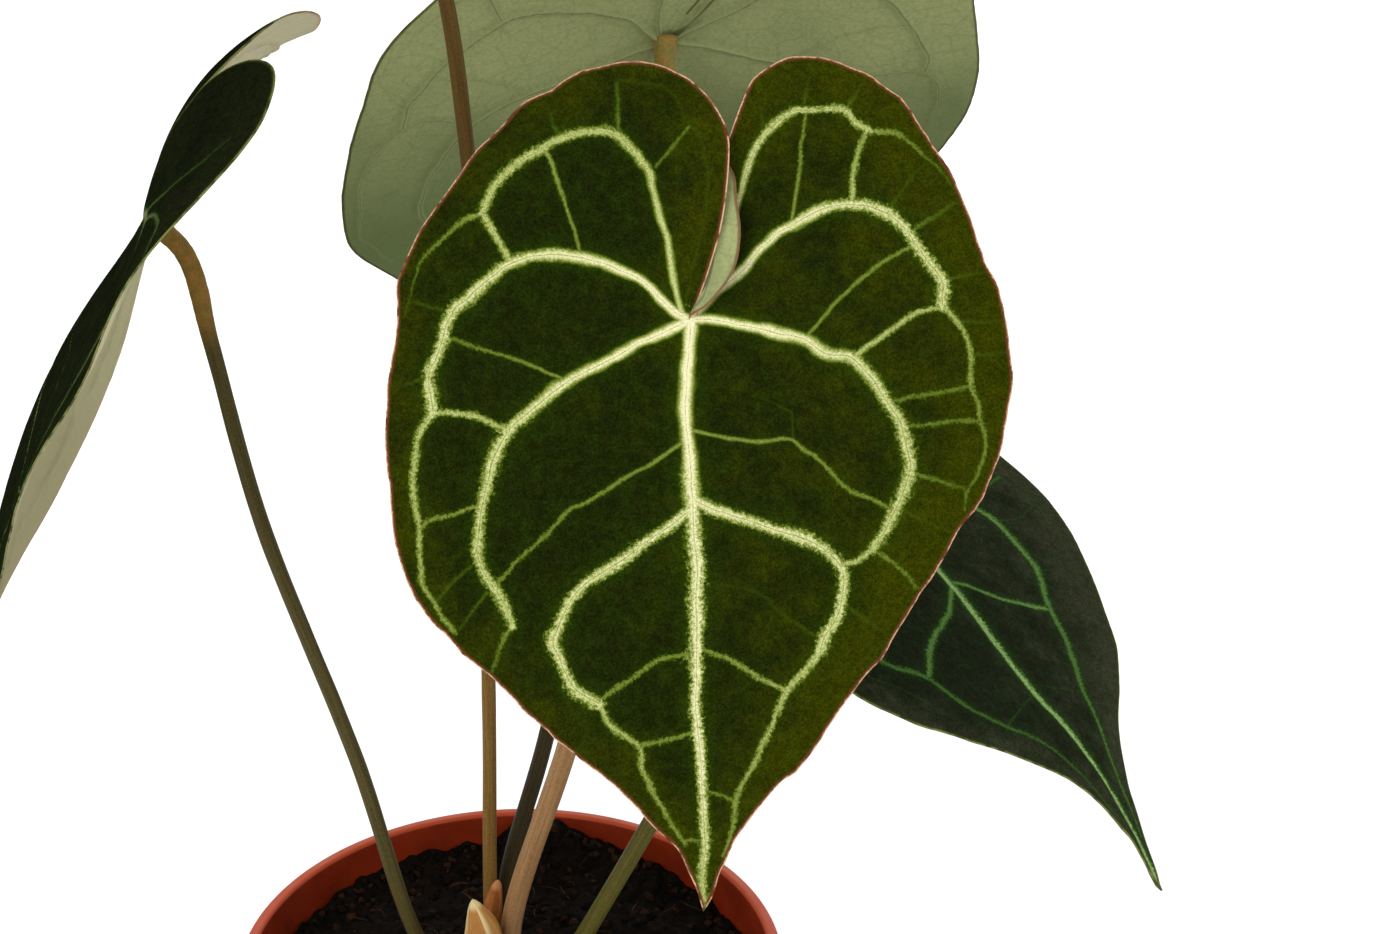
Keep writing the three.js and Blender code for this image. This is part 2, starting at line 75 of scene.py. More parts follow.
LEAF_DEFAULTS = dict(
    curl=(0, 0), rise=(0, 0), slim=0.0, width=1.0, mirror=1, waves=1.0, ripple=0.5, thin=1.0,
    rolled=False, joint=JOINT_LENGTH,
)
LEAVES = {
    "front": dict(
        at=(39.9, -53.1, 283.2), tip=(0, -0.454, -0.891), face=(0, -0.891, 0.454), midrib=106.4,
        fold_left=(6, 6, 6), fold_right=(6, 6, 6), bend=8, lobe_bend=10, width=1.02, ripple=1.0, thin=1.2,
        rolled=True,
        stalk=[
            (1.2, -4.8, STALK_FOOT), (0.4, -4.6, 114.6), (14.1, -16, 169),
            (30.5, -34, 236), (36.5, -44, 268),
        ],
        stalk_radius=2.2,
    ),
    "rear": dict(
        at=(34.3, 71.8, 292.7), tip=(-0.244, 0.515, -0.822), face=(-0.183, 0.808, 0.56), midrib=132.5,
        fold_left=(11, 11, 11), fold_right=(11, 11, 11), bend=15, lobe_bend=8, width=1.01, mirror=-1,
        stalk=[(-0.8, 7, STALK_FOOT), (-0.9, 7.5, 119.5), (8.8, 16, 155), (27, 48, 242), (33.6, 62, 279)],
        stalk_radius=1.8,
    ),
    "left": dict(
        at=(-68.4, 12.7, 275.8), tip=(-0.424, 0.05, -0.904), face=(-0.897, 0.114, 0.427), midrib=123,
        fold_left=(30, 5, 22), fold_right=(28, 19, 32), curl=(-14, -17), bend=17, lobe_bend=43,
        rise=(15, 12), waves=0.25, thin=0.6,
        stalk=[
            (-12.5, 0, STALK_FOOT), (-20.5, -1, 112), (-31.5, 2, 155),
            (-49, 7, 210.5), (-57, 11, 249), (-61, 12.2, 268),
        ],
        stalk_radius=1.6, joint=26,
    ),
    "right": dict(
        at=(68, 11, 217.4), tip=(0.702, -0.631, -0.33), face=(0.422, -0.003, 0.906), midrib=108.7,
        fold_left=(1, 1, 1), fold_right=(-1, -1, -1), curl=(7.5, -6), bend=33, lobe_bend=6, slim=0.45,
        stalk=[(7, -1.5, STALK_FOOT), (16.8, -2, 113.4), (32.5, 1, 143), (53, 6.5, 184), (63, 9.5, 204)],
        stalk_radius=1.9,
    ),
    "top": dict(
        at=(-35, -8, 390), tip=(-0.78, 0.48, -0.4), face=(-0.36, 0.15, 0.92), midrib=116,
        fold_left=(10, 8, 10), fold_right=(8, 6, 10), curl=(4, 4), bend=24, lobe_bend=14, slim=0.1,
        mirror=-1,
        stalk=[
            (-4.6, 3.2, STALK_FOOT), (-4.2, 3, 124), (-2.7, 0.6, 175),
            (-2.4, -6, 296), (-9, -8.3, 345), (-24, -8.4, 377),
        ],
        stalk_radius=1.5,
    ),
}
LEAVES = {leaf_name: {**LEAF_DEFAULTS, **leaf} for leaf_name, leaf in LEAVES.items()}

# Margin of a blade in hundredths of the midrib, from the stalk's end: left from the notch to the tip
LEFT_MARGIN = [
    (0.3, 0.2), (3.0, 7.5), (5.3, 16.4), (6.3, 25.9), (6.0, 31.1), (3.8, 35.9), (0.2, 40.2), (-4.3, 42.7),
    (-10.2, 43.6), (-16.0, 42.7), (-19.0, 41.7), (-23.4, 38.7), (-27.7, 36.6), (-32.2, 31.7), (-35.9, 28.0),
    (-38.7, 24.0), (-42.4, 18.9), (-45.4, 14.2), (-47.6, 9.0), (-48.6, 6.0), (-48.7, -1.3), (-49.7, -7.8),
    (-50.4, -15.2), (-50.3, -24.0), (-49.7, -28.4), (-49.4, -33.6), (-48.6, -39.2), (-46.7, -44.7),
    (-44.6, -48.7), (-42.1, -51.9), (-39.1, -54.6), (-37.2, -57.1), (-33.7, -59.9), (-29.4, -63.9),
    (-27.2, -66.6), (-23.7, -69.3), (-21.9, -71.0), (-18.0, -74.1), (-14.2, -77.1), (-11.0, -80.1),
    (-8.8, -82.1), (-5.7, -86.0), (-2.0, -89.3), (-0.3, -93.2), (1.2, -96.7), (2.2, -100.2),
]
# Right from the tip to where the inner edge turns into the notch
RIGHT_MARGIN = [
    (2.2, -100.2), (4.0, -97.0), (4.8, -94.0), (6.0, -91.3), (7.7, -87.5), (10.7, -83.3), (15.0, -78.0),
    (18.4, -75.3), (24.0, -67.1), (26.5, -63.6), (29.0, -60.3), (32.1, -57.1), (33.7, -53.8), (35.9, -50.1),
    (38.1, -46.2), (40.2, -43.6), (41.7, -40.7), (43.2, -38.2), (45.1, -34.9), (47.6, -31.7), (49.1, -29.2),
    (50.4, -25.9), (51.6, -22.7), (52.6, -17.5), (53.3, -12.0), (53.3, -9.5), (52.8, -4.5), (52.1, 1.5),
    (50.6, 6.5), (48.7, 10.5), (46.6, 17.0), (44.6, 22.5), (42.6, 26.5), (40.6, 29.5), (38.1, 33.6),
    (35.6, 37.4), (32.6, 39.9), (30.1, 41.6), (28.0, 42.6), (25.0, 44.1), (22.0, 44.9), (18.5, 44.9),
    (15.5, 44.4), (12.5, 42.6), (10.5, 40.9), (9.5, 39.1), (8.0, 35.1), (6.8, 31.6), (6.2, 29.5),
]
# The rest of the right edge, down into the notch, as a plain leaf has it
PLAIN_NOTCH = [(6.8, 25.0), (6.3, 16.4), (4.0, 7.5), (0.3, 0.2)]
# On the front leaf the edge there is rolled over: x, y of the fold, roll's length and radius in millimetres
ROLLED_NOTCH = [
    (5.3, 24.4, 4.5, 0.8), (4.3, 19.7, 7.0, 1.05), (3.2, 13.9, 9.6, 1.3), (2.6, 8.0, 8.8, 1.2),
    (2.2, 3.0, 4.2, 0.8), (1.2, 0.4, 1.2, 0.6),
]

# Veins: half width in millimetres at both ends, brightness at both ends, points in leaf units
VEINS = [
    (1.65, 0.92, 1.05, 1.05, [
        (0.2, -0.5), (-0.7, -9.3), (-0.8, -16.7), (0, -24.9), (0.3, -30.6), (0.8, -37.6), (1.3, -44.7),
        (1.3, -51.9), (1.2, -61.4), (1.2, -69.1), (1.7, -76.8)]),
    (0.92, 0.8, 1.05, 0.72, [(1.7, -76.8), (2, -84.5), (2.3, -92.2), (2.3, -99.2)]),
    (0.9, 0.85, 0.72, 0.82, [
        (-0.6, 0), (-1.3, 0.8), (-2.3, 4.8), (-3.3, 10.7), (-4.8, 17), (-6.2, 22.9), (-8.7, 27.4),
        (-11.7, 30.7), (-14.5, 31.6), (-18.5, 31.2), (-21.9, 30.2), (-24.4, 28.5), (-27.7, 26.9),
        (-30.7, 24.4), (-32.9, 21.9), (-34.6, 18.2)]),
    (0.5, 0.25, 0.6, 0.2, [
        (-34.6, 18.2), (-38.1, 16.5), (-41.9, 13.2), (-44.9, 9.2), (-46.6, 3.8), (-47.6, 0.3)]),
    (1.25, 1.0, 1, 0.9, [
        (-0.5, 0), (-2.3, 0.8), (-4.8, 3.3), (-7.7, 6.3), (-11.2, 8.2), (-14.5, 9.5), (-18, 10.2),
        (-22.4, 10.7), (-25.9, 10.5), (-29.7, 9.2), (-32.7, 7.2), (-35.6, 4.8), (-38.1, 2.3),
        (-40.1, -0.5), (-41.4, -4.5), (-42.9, -8.8), (-42.9, -12.4), (-42.7, -15.7)]),
    (0.75, 0.45, 0.8, 0.55, [
        (-42.7, -15.7), (-44.9, -19.4), (-45.6, -23), (-45.9, -28.4), (-45.6, -32.1), (-44.9, -35.4),
        (-45.1, -37.9), (-44.9, -41.4), (-44.2, -45.1), (-42.2, -47.9), (-41.2, -50.6), (-39.1, -53.1)]),
    (1.35, 0.85, 1, 0.8, [
        (-0.3, -0.5), (-2.3, -1.5), (-7.7, -4), (-12.5, -6.5), (-18.5, -9.8), (-22.4, -12.4),
        (-26.4, -15.7), (-29.7, -18.7), (-31.7, -22.2), (-33.7, -27), (-34.7, -32.1), (-35.1, -36.4),
        (-35.1, -40.1), (-33.7, -43.7), (-31.9, -46.6), (-30.1, -49.7), (-29.2, -51.9)]),
    (0.5, 0.4, 0.5, 0.3, [(-29.2, -51.9), (-30.4, -53.8), (-31.9, -57.1), (-32.7, -59.3)]),
    (0.5, 0.42, 0.5, 0.45, [
        (-0.8, -20.2), (-6.5, -24.5), (-10.9, -27), (-15.5, -29.9), (-19.9, -32.1), (-22.9, -35.4),
        (-26.4, -38.9), (-29.4, -41.9), (-32.2, -44.9)]),
    (0.95, 1.05, 0.95, 0.9, [
        (0.3, -31.6), (-4.7, -35.4), (-9, -38.6), (-13.7, -42.2), (-17.4, -45.1), (-20.2, -48.4),
        (-22, -51.6), (-22.9, -54.1), (-21.5, -57.9), (-19.2, -62.1), (-14.9, -64.9)]),
    (0.6, 0.45, 0.75, 0.5, [
        (-14.9, -64.9), (-12.7, -68.8), (-10, -71), (-8, -72.5), (-7.8, -75.6), (-6.2, -79),
        (-4.2, -82.8), (-2.3, -86.3), (-1, -88.3)]),
    (0.75, 0.7, 0.8, 0.75, [(-34.6, 18.2), (-32.7, 15), (-31.2, 12.2), (-29.7, 9.7)]),
    (0.5, 0.4, 0.6, 0.45, [
        (-24.4, 28.5), (-22.9, 26.9), (-21.4, 21.9), (-19.9, 17.5), (-18.7, 13.7), (-18, 10.7)]),
    (0.5, 0.4, 0.3, 0.12, [(-21.9, 30.7), (-24, 36.6)]),
    (0.52, 0.44, 0.4, 0.25, [(-11.7, 30.7), (-12.4, 40.1)]),
    (0.5, 0.44, 0.16, 0.14, [
        (-12.4, 40.6), (-5.2, 39.1), (-2.3, 36.6), (-0.3, 32.2), (2.2, 28.4), (2.8, 22.9), (2.3, 17),
        (1.3, 12.2), (0.2, 7.2), (-0.7, 2.3)]),
    (0.5, 0.5, 0.35, 0.35, [(-5.7, 24.9), (-0.3, 31.7)]),
    (0.5, 0.42, 0.4, 0.5, [(-40.3, -3.2), (-33.2, -5.2), (-28.2, -7), (-24.4, -8.7), (-19.6, -10.8)]),
    (0.44, 0.38, 0.25, 0.2, [(-39.5, 0.8), (-46.4, 3.3)]),
    (0.44, 0.38, 0.3, 0.15, [(-42.9, -9.5), (-48.7, -11.5)]),
    (0.6, 0.6, 0.75, 0.75, [(-42.7, -15.7), (-39.6, -15.5), (-35.6, -16.2), (-32.2, -17.7), (-29.7, -18.9)]),
    (0.5, 0.5, 0.5, 0.55, [(-44.9, -35.4), (-43.1, -33.9), (-39.1, -32.7), (-34.9, -31.2)]),
    (0.44, 0.38, 0.25, 0.25, [(-42.2, -47.9), (-39.4, -44.4), (-34.9, -40.7)]),
    (0.44, 0.38, 0.3, 0.2, [(-33, -45.6), (-38.7, -53.1)]),
    (0.5, 0.45, 0.5, 0.5, [(-15.4, -64.7), (-10, -60.6), (-5.3, -57.6), (1, -55.9)]),
    (0.5, 0.45, 0.5, 0.5, [(-8, -71.8), (-5.3, -71), (-2.7, -70.5), (1, -69.6)]),
    (0.44, 0.38, 0.45, 0.45, [(-1.2, -87.8), (2, -87.8)]),
    (0.8, 0.7, 0.9, 0.8, [
        (0.6, 0.3), (3, 6), (6, 14), (8.2, 21), (9, 23.5), (10.5, 28), (12, 31.1), (14.5, 33.6),
        (17.5, 35.6), (20, 35.6), (23, 36.1), (25.5, 35.9), (28, 33.6), (30.1, 32.1)]),
    (0.55, 0.35, 0.6, 0.25, [(30.1, 32.1), (34.1, 31.9), (36.1, 30.6), (38.6, 28), (41.6, 26), (43.6, 23)]),
    (1.15, 0.95, 1, 0.9, [
        (0.5, 0.1), (4, 4), (8.7, 8.3), (12.5, 12.5), (16.5, 15.5), (21, 18), (25, 19.4), (28, 19.4),
        (32.1, 18), (35.1, 16), (37.2, 13), (39.6, 9.5), (41.6, 6), (41.6, 2)]),
    (0.65, 0.35, 0.7, 0.35, [
        (41.6, 2), (44.1, -0.5), (45.6, -3.5), (46.6, -7), (46.7, -11.5), (47.9, -14), (48.2, -16.9),
        (48.9, -20.4), (48.4, -24), (47.2, -27.4), (45.9, -28.9), (45.7, -32.1)]),
    (1.3, 1.05, 1, 0.82, [
        (0.4, -0.2), (3, -0.2), (7.5, -0.7), (13, -2), (19, -3.2), (22.5, -5.7), (27, -6.5), (29.5, -9.5),
        (32.1, -13.5), (34.6, -17), (36.1, -21.2), (36.7, -25.4), (35.6, -29.2), (34.2, -32.1),
        (32.4, -35.7), (30.6, -38.9)]),
    (0.7, 0.6, 0.8, 0.75, [(30.6, -38.9), (28, -40.4), (25.2, -41.3)]),
    (1.05, 0.95, 1, 0.9, [
        (0.4, -30.2), (3, -31.4), (7.3, -33.2), (12.9, -34.9), (17.2, -36.4), (21.5, -38.2), (24.4, -40.4),
        (25.5, -42.9), (25.2, -46.6), (24.4, -49.7), (22.5, -52.8), (21.5, -55.9)]),
    (0.75, 0.45, 0.8, 0.5, [
        (21.5, -55.9), (19.4, -58.8), (16.4, -62.1), (15, -64.6), (13.5, -69.1), (11.2, -73.3),
        (9.2, -77.1), (7.3, -81), (7.2, -84), (6.2, -87.8), (5.3, -90.5)]),
    (0.5, 0.45, 0.5, 0.5, [
        (0, -18.7), (5.5, -20), (10.2, -20.7), (16, -20), (18.5, -21.9), (22.2, -24.5), (24.4, -27),
        (26.5, -28.9), (29.4, -30.1), (33.4, -31.9)]),
    (0.44, 0.38, 0.15, 0.2, [(16.9, -15.7), (16.9, -20.2)]),
    (0.44, 0.38, 0.08, 0.18, [(11, -12.9), (16.9, -15.7)]),
    (0.44, 0.42, 0.12, 0.22, [(3.7, -44.1), (11, -46.2), (15.7, -50.1), (21.7, -53.9)]),
    (0.55, 0.52, 0.5, 0.65, [(1.3, -55.1), (6.3, -57.1), (9.8, -59.3), (12.9, -61.1), (16, -62.7)]),
    (0.44, 0.38, 0.45, 0.45, [(1.8, -79.3), (5, -80.1), (7.8, -81.2)]),
    (0.5, 0.48, 0.45, 0.5, [(19.2, -3), (22, 0.5), (26, 5), (30.1, 8.5), (34.1, 11), (37.7, 12.6)]),
    (0.6, 0.55, 0.75, 0.7, [(27, -6.5), (31.1, -3.5), (35.1, -0.5), (38.1, 1), (41.6, 2)]),
    (0.6, 0.5, 0.75, 0.6, [(26.5, 19.6), (27.2, 24.5), (28.2, 29), (29.6, 32.6)]),
    (0.5, 0.45, 0.5, 0.45, [(16.7, 15.8), (17.5, 22), (18.2, 28), (19, 33.1), (19.5, 35.6)]),
    (0.44, 0.38, 0.3, 0.1, [(18.7, 35.6), (20, 43.1)]),
    (0.44, 0.38, 0.35, 0.1, [(25.7, 35.8), (29.5, 41.6)]),
    (0.44, 0.38, 0.25, 0.1, [(12, 31.1), (11.2, 38.1)]),
    (0.5, 0.44, 0.4, 0.25, [(36.3, 14.4), (43.6, 20)]),
    (0.44, 0.38, 0.25, 0.15, [(32.3, 17.9), (39.1, 27.5)]),
    (0.44, 0.38, 0.3, 0.15, [(41.4, 6.4), (48.6, 8.5)]),
    (0.44, 0.38, 0.3, 0.15, [(44.1, -0.5), (52.1, 0)]),
    (0.44, 0.38, 0.3, 0.15, [(46.4, -6), (52.6, -5.5)]),
    (0.52, 0.44, 0.5, 0.35, [(30.6, -38.9), (34.6, -41.9), (37.4, -45.1)]),
    (0.44, 0.38, 0.25, 0.15, [(25.3, -48), (33.1, -53.1)]),
    (0.44, 0.38, 0.25, 0.15, [(34.6, -31.7), (43.2, -35.7)]),
    (0.5, 0.44, 0.45, 0.3, [(36.7, -25.6), (45.7, -28.4)]),
    (0.5, 0.45, 0.4, 0.4, [(35.4, -18.1), (48.2, -16.9)]),
    (0.5, 0.45, 0.4, 0.4, [(32.6, -13.9), (46.7, -11.4)]),
]


# The right leaf's tip half has a net of its own
RIGHT_LEAF_VEINS = [vein for vein in VEINS if min(y for _, y in vein[4]) > -16] + [
    (1.5, 1.0, 1, 1, [
        (0.2, -0.5), (1.2, -14), (2, -27), (1, -33), (-0.5, -43), (-1.2, -52), (-1, -61), (0.5, -70),
        (1.8, -80), (2.5, -87), (2.5, -94), (2.2, -99)]),
    (1.3, 0.8, 0.85, 0.4, [
        (0.4, -0.2), (7.5, -0.7), (16, -3), (24, -7.5), (28.5, -12), (30.5, -16.8), (32, -20.5),
        (31.3, -27.5), (29.2, -34.5), (23, -43), (20, -49.2), (16, -56), (13.5, -61.2), (13, -66.8),
        (11, -74), (8, -82), (5, -90)]),
    (0.8, 0.8, 0.6, 0.7, [(1.5, -31), (6, -33.5), (11.5, -38), (22, -43.2)]),
    (0.8, 0.8, 0.6, 0.6, [(1, -32), (-3.5, -35), (-8.2, -37.8), (-19, -42.2), (-26, -47.5)]),
    (1.2, 0.7, 0.7, 0.3, [
        (-0.3, -0.5), (-7.7, -4), (-18.5, -9.8), (-28, -17.5), (-33, -26), (-35.5, -34), (-34, -42.2),
        (-29.8, -45.8), (-26.8, -48), (-24.5, -52.8), (-21.5, -58), (-18.5, -62.2), (-14.5, -65.5),
        (-10, -73), (-6, -81), (-3, -88)]),
    (0.4, 0.3, 0.3, 0.15, [(-42.7, -15.7), (-45, -24), (-44, -33), (-41, -42), (-34, -50), (-27, -60)]),
    (0.4, 0.3, 0.3, 0.15, [(41.6, 2), (46, -7), (47, -20), (44, -31), (36, -43)]),
    (0.35, 0.3, 0.3, 0.2, [(31.5, -21), (38, -22.5), (46, -21)]),
    (0.35, 0.3, 0.25, 0.15, [(29.2, -34.5), (37, -38)]),
    (0.35, 0.3, 0.25, 0.2, [(-33, -26), (-26, -24), (-14, -21), (1.6, -19)]),
    (0.35, 0.3, 0.25, 0.2, [(-18.5, -62.2), (-10, -60), (-1, -58)]),
    (0.35, 0.3, 0.25, 0.2, [(13.5, -61.2), (7, -59), (-1, -56)]),
]
# The left leaf has veins of its own in the lobe that faces the front
LEFT_LEAF_VEINS = [
    vein for vein in VEINS if min(x for x, _ in vein[4]) < 0.3 or max(y for _, y in vein[4]) < -9
] + [
    (3.4, 1.8, 1.1, 0.5, [
        (0.4, -0.2), (7.5, 3), (14, 7), (19.5, 10), (23.5, 11), (25.3, 8.5), (25.2, 4), (26, 0), (28, -3.8),
        (31, -7.5), (34.5, -12), (37, -19), (36.5, -26), (33.5, -33.5), (30.6, -38.9)]),
    (1.4, 0.8, 0.65, 0.35, [
        (19.5, 10), (22.5, 13), (26.5, 17.8), (28.5, 22), (29.4, 26), (29.5, 30.8), (28.8, 33), (28, 36.5)]),
    (1.5, 1.1, 0.8, 0.5, [(23.5, 11), (30, 16.5), (36.5, 19.2), (40.8, 17.8), (45.2, 16.8)]),
    (0.5, 0.4, 0.16, 0.1, [(0.6, 0.3), (5, 14), (9, 27), (15, 36), (22, 38.5), (28, 36.5)]),
]

# Nets drawn for one leaf; the other leaves have the front leaf's, slightly warped
NETS = {"front": VEINS, "left": LEFT_LEAF_VEINS, "right": RIGHT_LEAF_VEINS}


# Small helpers

# Large primes that scramble the number of a lattice point, and what shifts the lattice with the seed
AXIS_PRIMES = np.array([73856093, 19349663, 83492791])
SEED_PRIME = 2654435761
MIXING_PRIME = 1274126177
SEED_SHIFT = 37.7


def srgb(red, green, blue):
    """A colour as read from a screen, 0 to 255, as linear light."""
    values = [c / 255 for c in (red, green, blue)]
    return [c / 12.92 if c <= 0.04045 else ((c + 0.055) / 1.055) ** 2.4 for c in values] + [1.0]


def smoothstep(value, low, high):
    """0 below low and 1 above high, with a soft step between them."""
    share = np.clip((np.asarray(value, float) - low) / (high - low), 0, 1)
    return share * share * (3 - 2 * share)


def unit(vectors):
    """Vectors of length 1 in the same directions."""
    vectors = np.asarray(vectors, float)
    return vectors / np.linalg.norm(vectors, axis=-1, keepdims=True)


def full_turn(count):
    """Evenly spaced angles once round."""
    return 2 * np.pi * np.arange(count) / count


def rows_of(*parts):
    """Rows with one number from each array, whose shapes fit each other."""
    return np.stack(np.broadcast_arrays(*parts), -1).reshape(-1, len(parts))


def value_noise(points, scale, seed=0):
    """Smooth random values from -1 to 1 in space; scale is the size of its lumps."""
    cells = np.asarray(points, float) / scale + SEED_SHIFT * seed
    base = np.floor(cells).astype(np.int64)
    part = smoothstep(cells - base, 0, 1)
    total = np.zeros(len(cells))
    for corner in range(8):
        step = np.array([corner & 1, corner >> 1 & 1, corner >> 2 & 1])
        key = (base + step) @ AXIS_PRIMES + seed * SEED_PRIME
        key = (key ^ (key >> 13)) * MIXING_PRIME & 0xFFFFFFFF
        key = (key ^ (key >> 16)) & 0xFFFF
        share = np.prod(np.where(step == 1, part, 1 - part), axis=1)
        total += share * (key / 32767.5 - 1)
    return total


def noise_layers(points, *layers):
    """Sum of noises, each given by its share, the size of its lumps and its seed."""
    return sum(share * value_noise(points, size, seed) for share, size, seed in layers)


def smooth_curve(points, count, power=0.0, steps=24):
    """Evenly spaced points on a smooth curve through the given ones, in any number of dimensions.

    Power says how much the spacing of the given points counts; half makes a centripetal curve.
    """
    points = np.asarray(points, float)
    padded = np.vstack([2 * points[0] - points[1], points, 2 * points[-1] - points[-2]])
    share = np.linspace(0, 1, steps, endpoint=False)[:, None]
    pieces = []
    for a, b, c, d in zip(padded, padded[1:], padded[2:], padded[3:]):
        first, middle, last = (np.linalg.norm(q - p) ** power for p, q in ((a, b), (b, c), (c, d)))
        leave = ((b - a) / first - (c - a) / (first + middle) + (c - b) / middle) * middle
        arrive = ((c - b) / middle - (d - b) / (middle + last) + (d - c) / last) * middle
        pieces.append(b + leave * share + (3 * (c - b) - 2 * leave - arrive) * share**2
                      + (2 * (b - c) + leave + arrive) * share**3)
    dense = np.vstack(pieces + [points[-1:]])
    walked = np.r_[0, np.cumsum(np.linalg.norm(np.diff(dense, axis=0), axis=1))]
    wanted = np.linspace(0, walked[-1], count)
    return np.column_stack([np.interp(wanted, walked, column) for column in dense.T])


def stalk_curve(points, count):
    """The curve that stalks, roots and sheaths follow, as the solids have it."""
    return smooth_curve(points, count, power=0.5, steps=40)


def to_line(points, line):
    """For each point the offset from the nearest spot of a polyline, and that spot's share of its length."""
    best = np.full(len(points), np.inf)
    offset = np.zeros((len(points), 2))
    share = np.zeros(len(points))
    lengths = np.linalg.norm(np.diff(line, axis=0), axis=1)
    walked = np.r_[0, np.cumsum(lengths)]
    for k, (start, end) in enumerate(zip(line, line[1:])):
        way = end - start
        along = np.clip((points - start) @ way / (way @ way), 0, 1)
        away = points - start - along[:, None] * way
        distance = np.einsum("ij,ij->i", away, away)
        closer = distance < best
        best[closer] = distance[closer]
        offset[closer] = away[closer]
        share[closer] = (walked[k] + along[closer] * lengths[k]) / walked[-1]
    return offset, share


def carry(mesh, name, data):
    """Gives each point of a mesh a number or a vector under a name."""
    data = np.asarray(data, np.float32)
    kind, field = ("FLOAT_VECTOR", "vector") if data.ndim == 2 else ("FLOAT", "value")
    mesh.attributes.new(name, kind, "POINT").data.foreach_set(field, data.ravel())


def mesh_piece(name, points, faces, materials, slots=None, carried=None, smooth=True):
    """A mesh object from points and groups of faces, each group with three or four corners a face."""
    mesh = bpy.data.meshes.new(name)
    mesh.vertices.add(len(points))
    mesh.vertices.foreach_set("co", (np.asarray(points, float) * MM).astype(np.float32).ravel())
    corners = np.concatenate([group.ravel() for group in faces]).astype(np.int32)
    sizes = np.concatenate([np.full(len(group), group.shape[1], np.int32) for group in faces])
    mesh.loops.add(len(corners))
    mesh.loops.foreach_set("vertex_index", corners)
    mesh.polygons.add(len(sizes))
    mesh.polygons.foreach_set("loop_start", np.r_[0, np.cumsum(sizes)[:-1]].astype(np.int32))
    mesh.update(calc_edges=True)
    mesh.polygons.foreach_set("use_smooth", np.full(len(sizes), smooth))
    if slots is not None:
        mesh.polygons.foreach_set("material_index", slots.astype(np.int32))
    for key, data in (carried or {}).items():
        carry(mesh, key, data)
    for material in materials:
        mesh.materials.append(material)
    mesh.update()
    piece = bpy.data.objects.new(name, mesh)
    bpy.context.scene.collection.objects.link(piece)
    return piece


def joined(parts):
    """One mesh from several: all points, and the faces group by group."""
    starts = np.cumsum([0] + [len(points) for points, _ in parts])
    moved = [[group + start for group in faces] for (_, faces), start in zip(parts, starts)]
    return np.vstack([points for points, _ in parts]), [np.vstack(group) for group in zip(*moved)]


def stand_in(piece, node):
    """The piece rides on the part's body and stands for a solid, which it hides."""
    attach(piece, "root")
    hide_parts(node)


def grid_faces(rows, columns, start=0, closed=False):
    """Quads between rows of points; closed joins each row's end to its start."""
    row = np.arange(rows - 1)[:, None] * columns
    column = np.arange(columns if closed else columns - 1)[None, :]
    after = (column + 1) % columns
    quads = np.stack([row + column, row + after, row + columns + after, row + columns + column], -1)
    return start + quads.reshape(-1, 4)


def capped(rows, columns):
    """Faces of a closed tube: its wall and a fan at each end, whose middles are the last two points."""
    wall = grid_faces(rows, columns, closed=True)
    around = np.arange(columns)
    after = (around + 1) % columns
    foot = np.column_stack([np.full(columns, rows * columns), after, around])
    top = (rows - 1) * columns
    head = np.column_stack([np.full(columns, rows * columns + 1), top + around, top + after])
    return [wall, np.vstack([foot, head])]


# Materials

# Metres that noise sees for each unit across the fibres
FIBRE_SPREAD = 0.004
# And for each unit along the streaks of a stalk and the fibres of a husk
STREAK_STRETCH = 0.00004
HUSK_STRETCH = 0.0001
# Levels of a vein at which its five tones stand
VEIN_LEVELS = (0.0, 0.24, 0.46, 0.68, 0.95)
# Width of the cells in the underside's faint web
WEB_SIZE = 6.0
# How much a tone is darkened or lightened for lines and specks
DEEPER = 0.6
LIGHTER = 1.2
VELVET_TINT = (0.75, 0.9, 0.6, 1.0)
PLASTIC_TINT = (1.0, 0.55, 0.4, 1.0)
STALK_SHADE = (40, 30, 6)
STALK_EARTH = (118, 96, 62)
JOINT_SPECK = (90, 58, 30)
HAIR = (44, 28, 14)
PEAT_STAIN_AND_SHADE = (44, 26, 14)
ALGAE = (92, 84, 26)
DUST = (176, 96, 66)


class Value:
    """A number, vector or colour that a material works out at each point of its surface."""

    def __init__(self, shader, socket):
        self.shader = shader
        self.socket = socket

    def __add__(self, other):
        return self.shader.math("ADD", self, other)

    def __sub__(self, other):
        return self.shader.math("SUBTRACT", self, other)

    def __rsub__(self, other):
        return self.shader.math("SUBTRACT", other, self)

    def __mul__(self, other):
        return self.shader.math("MULTIPLY", self, other)


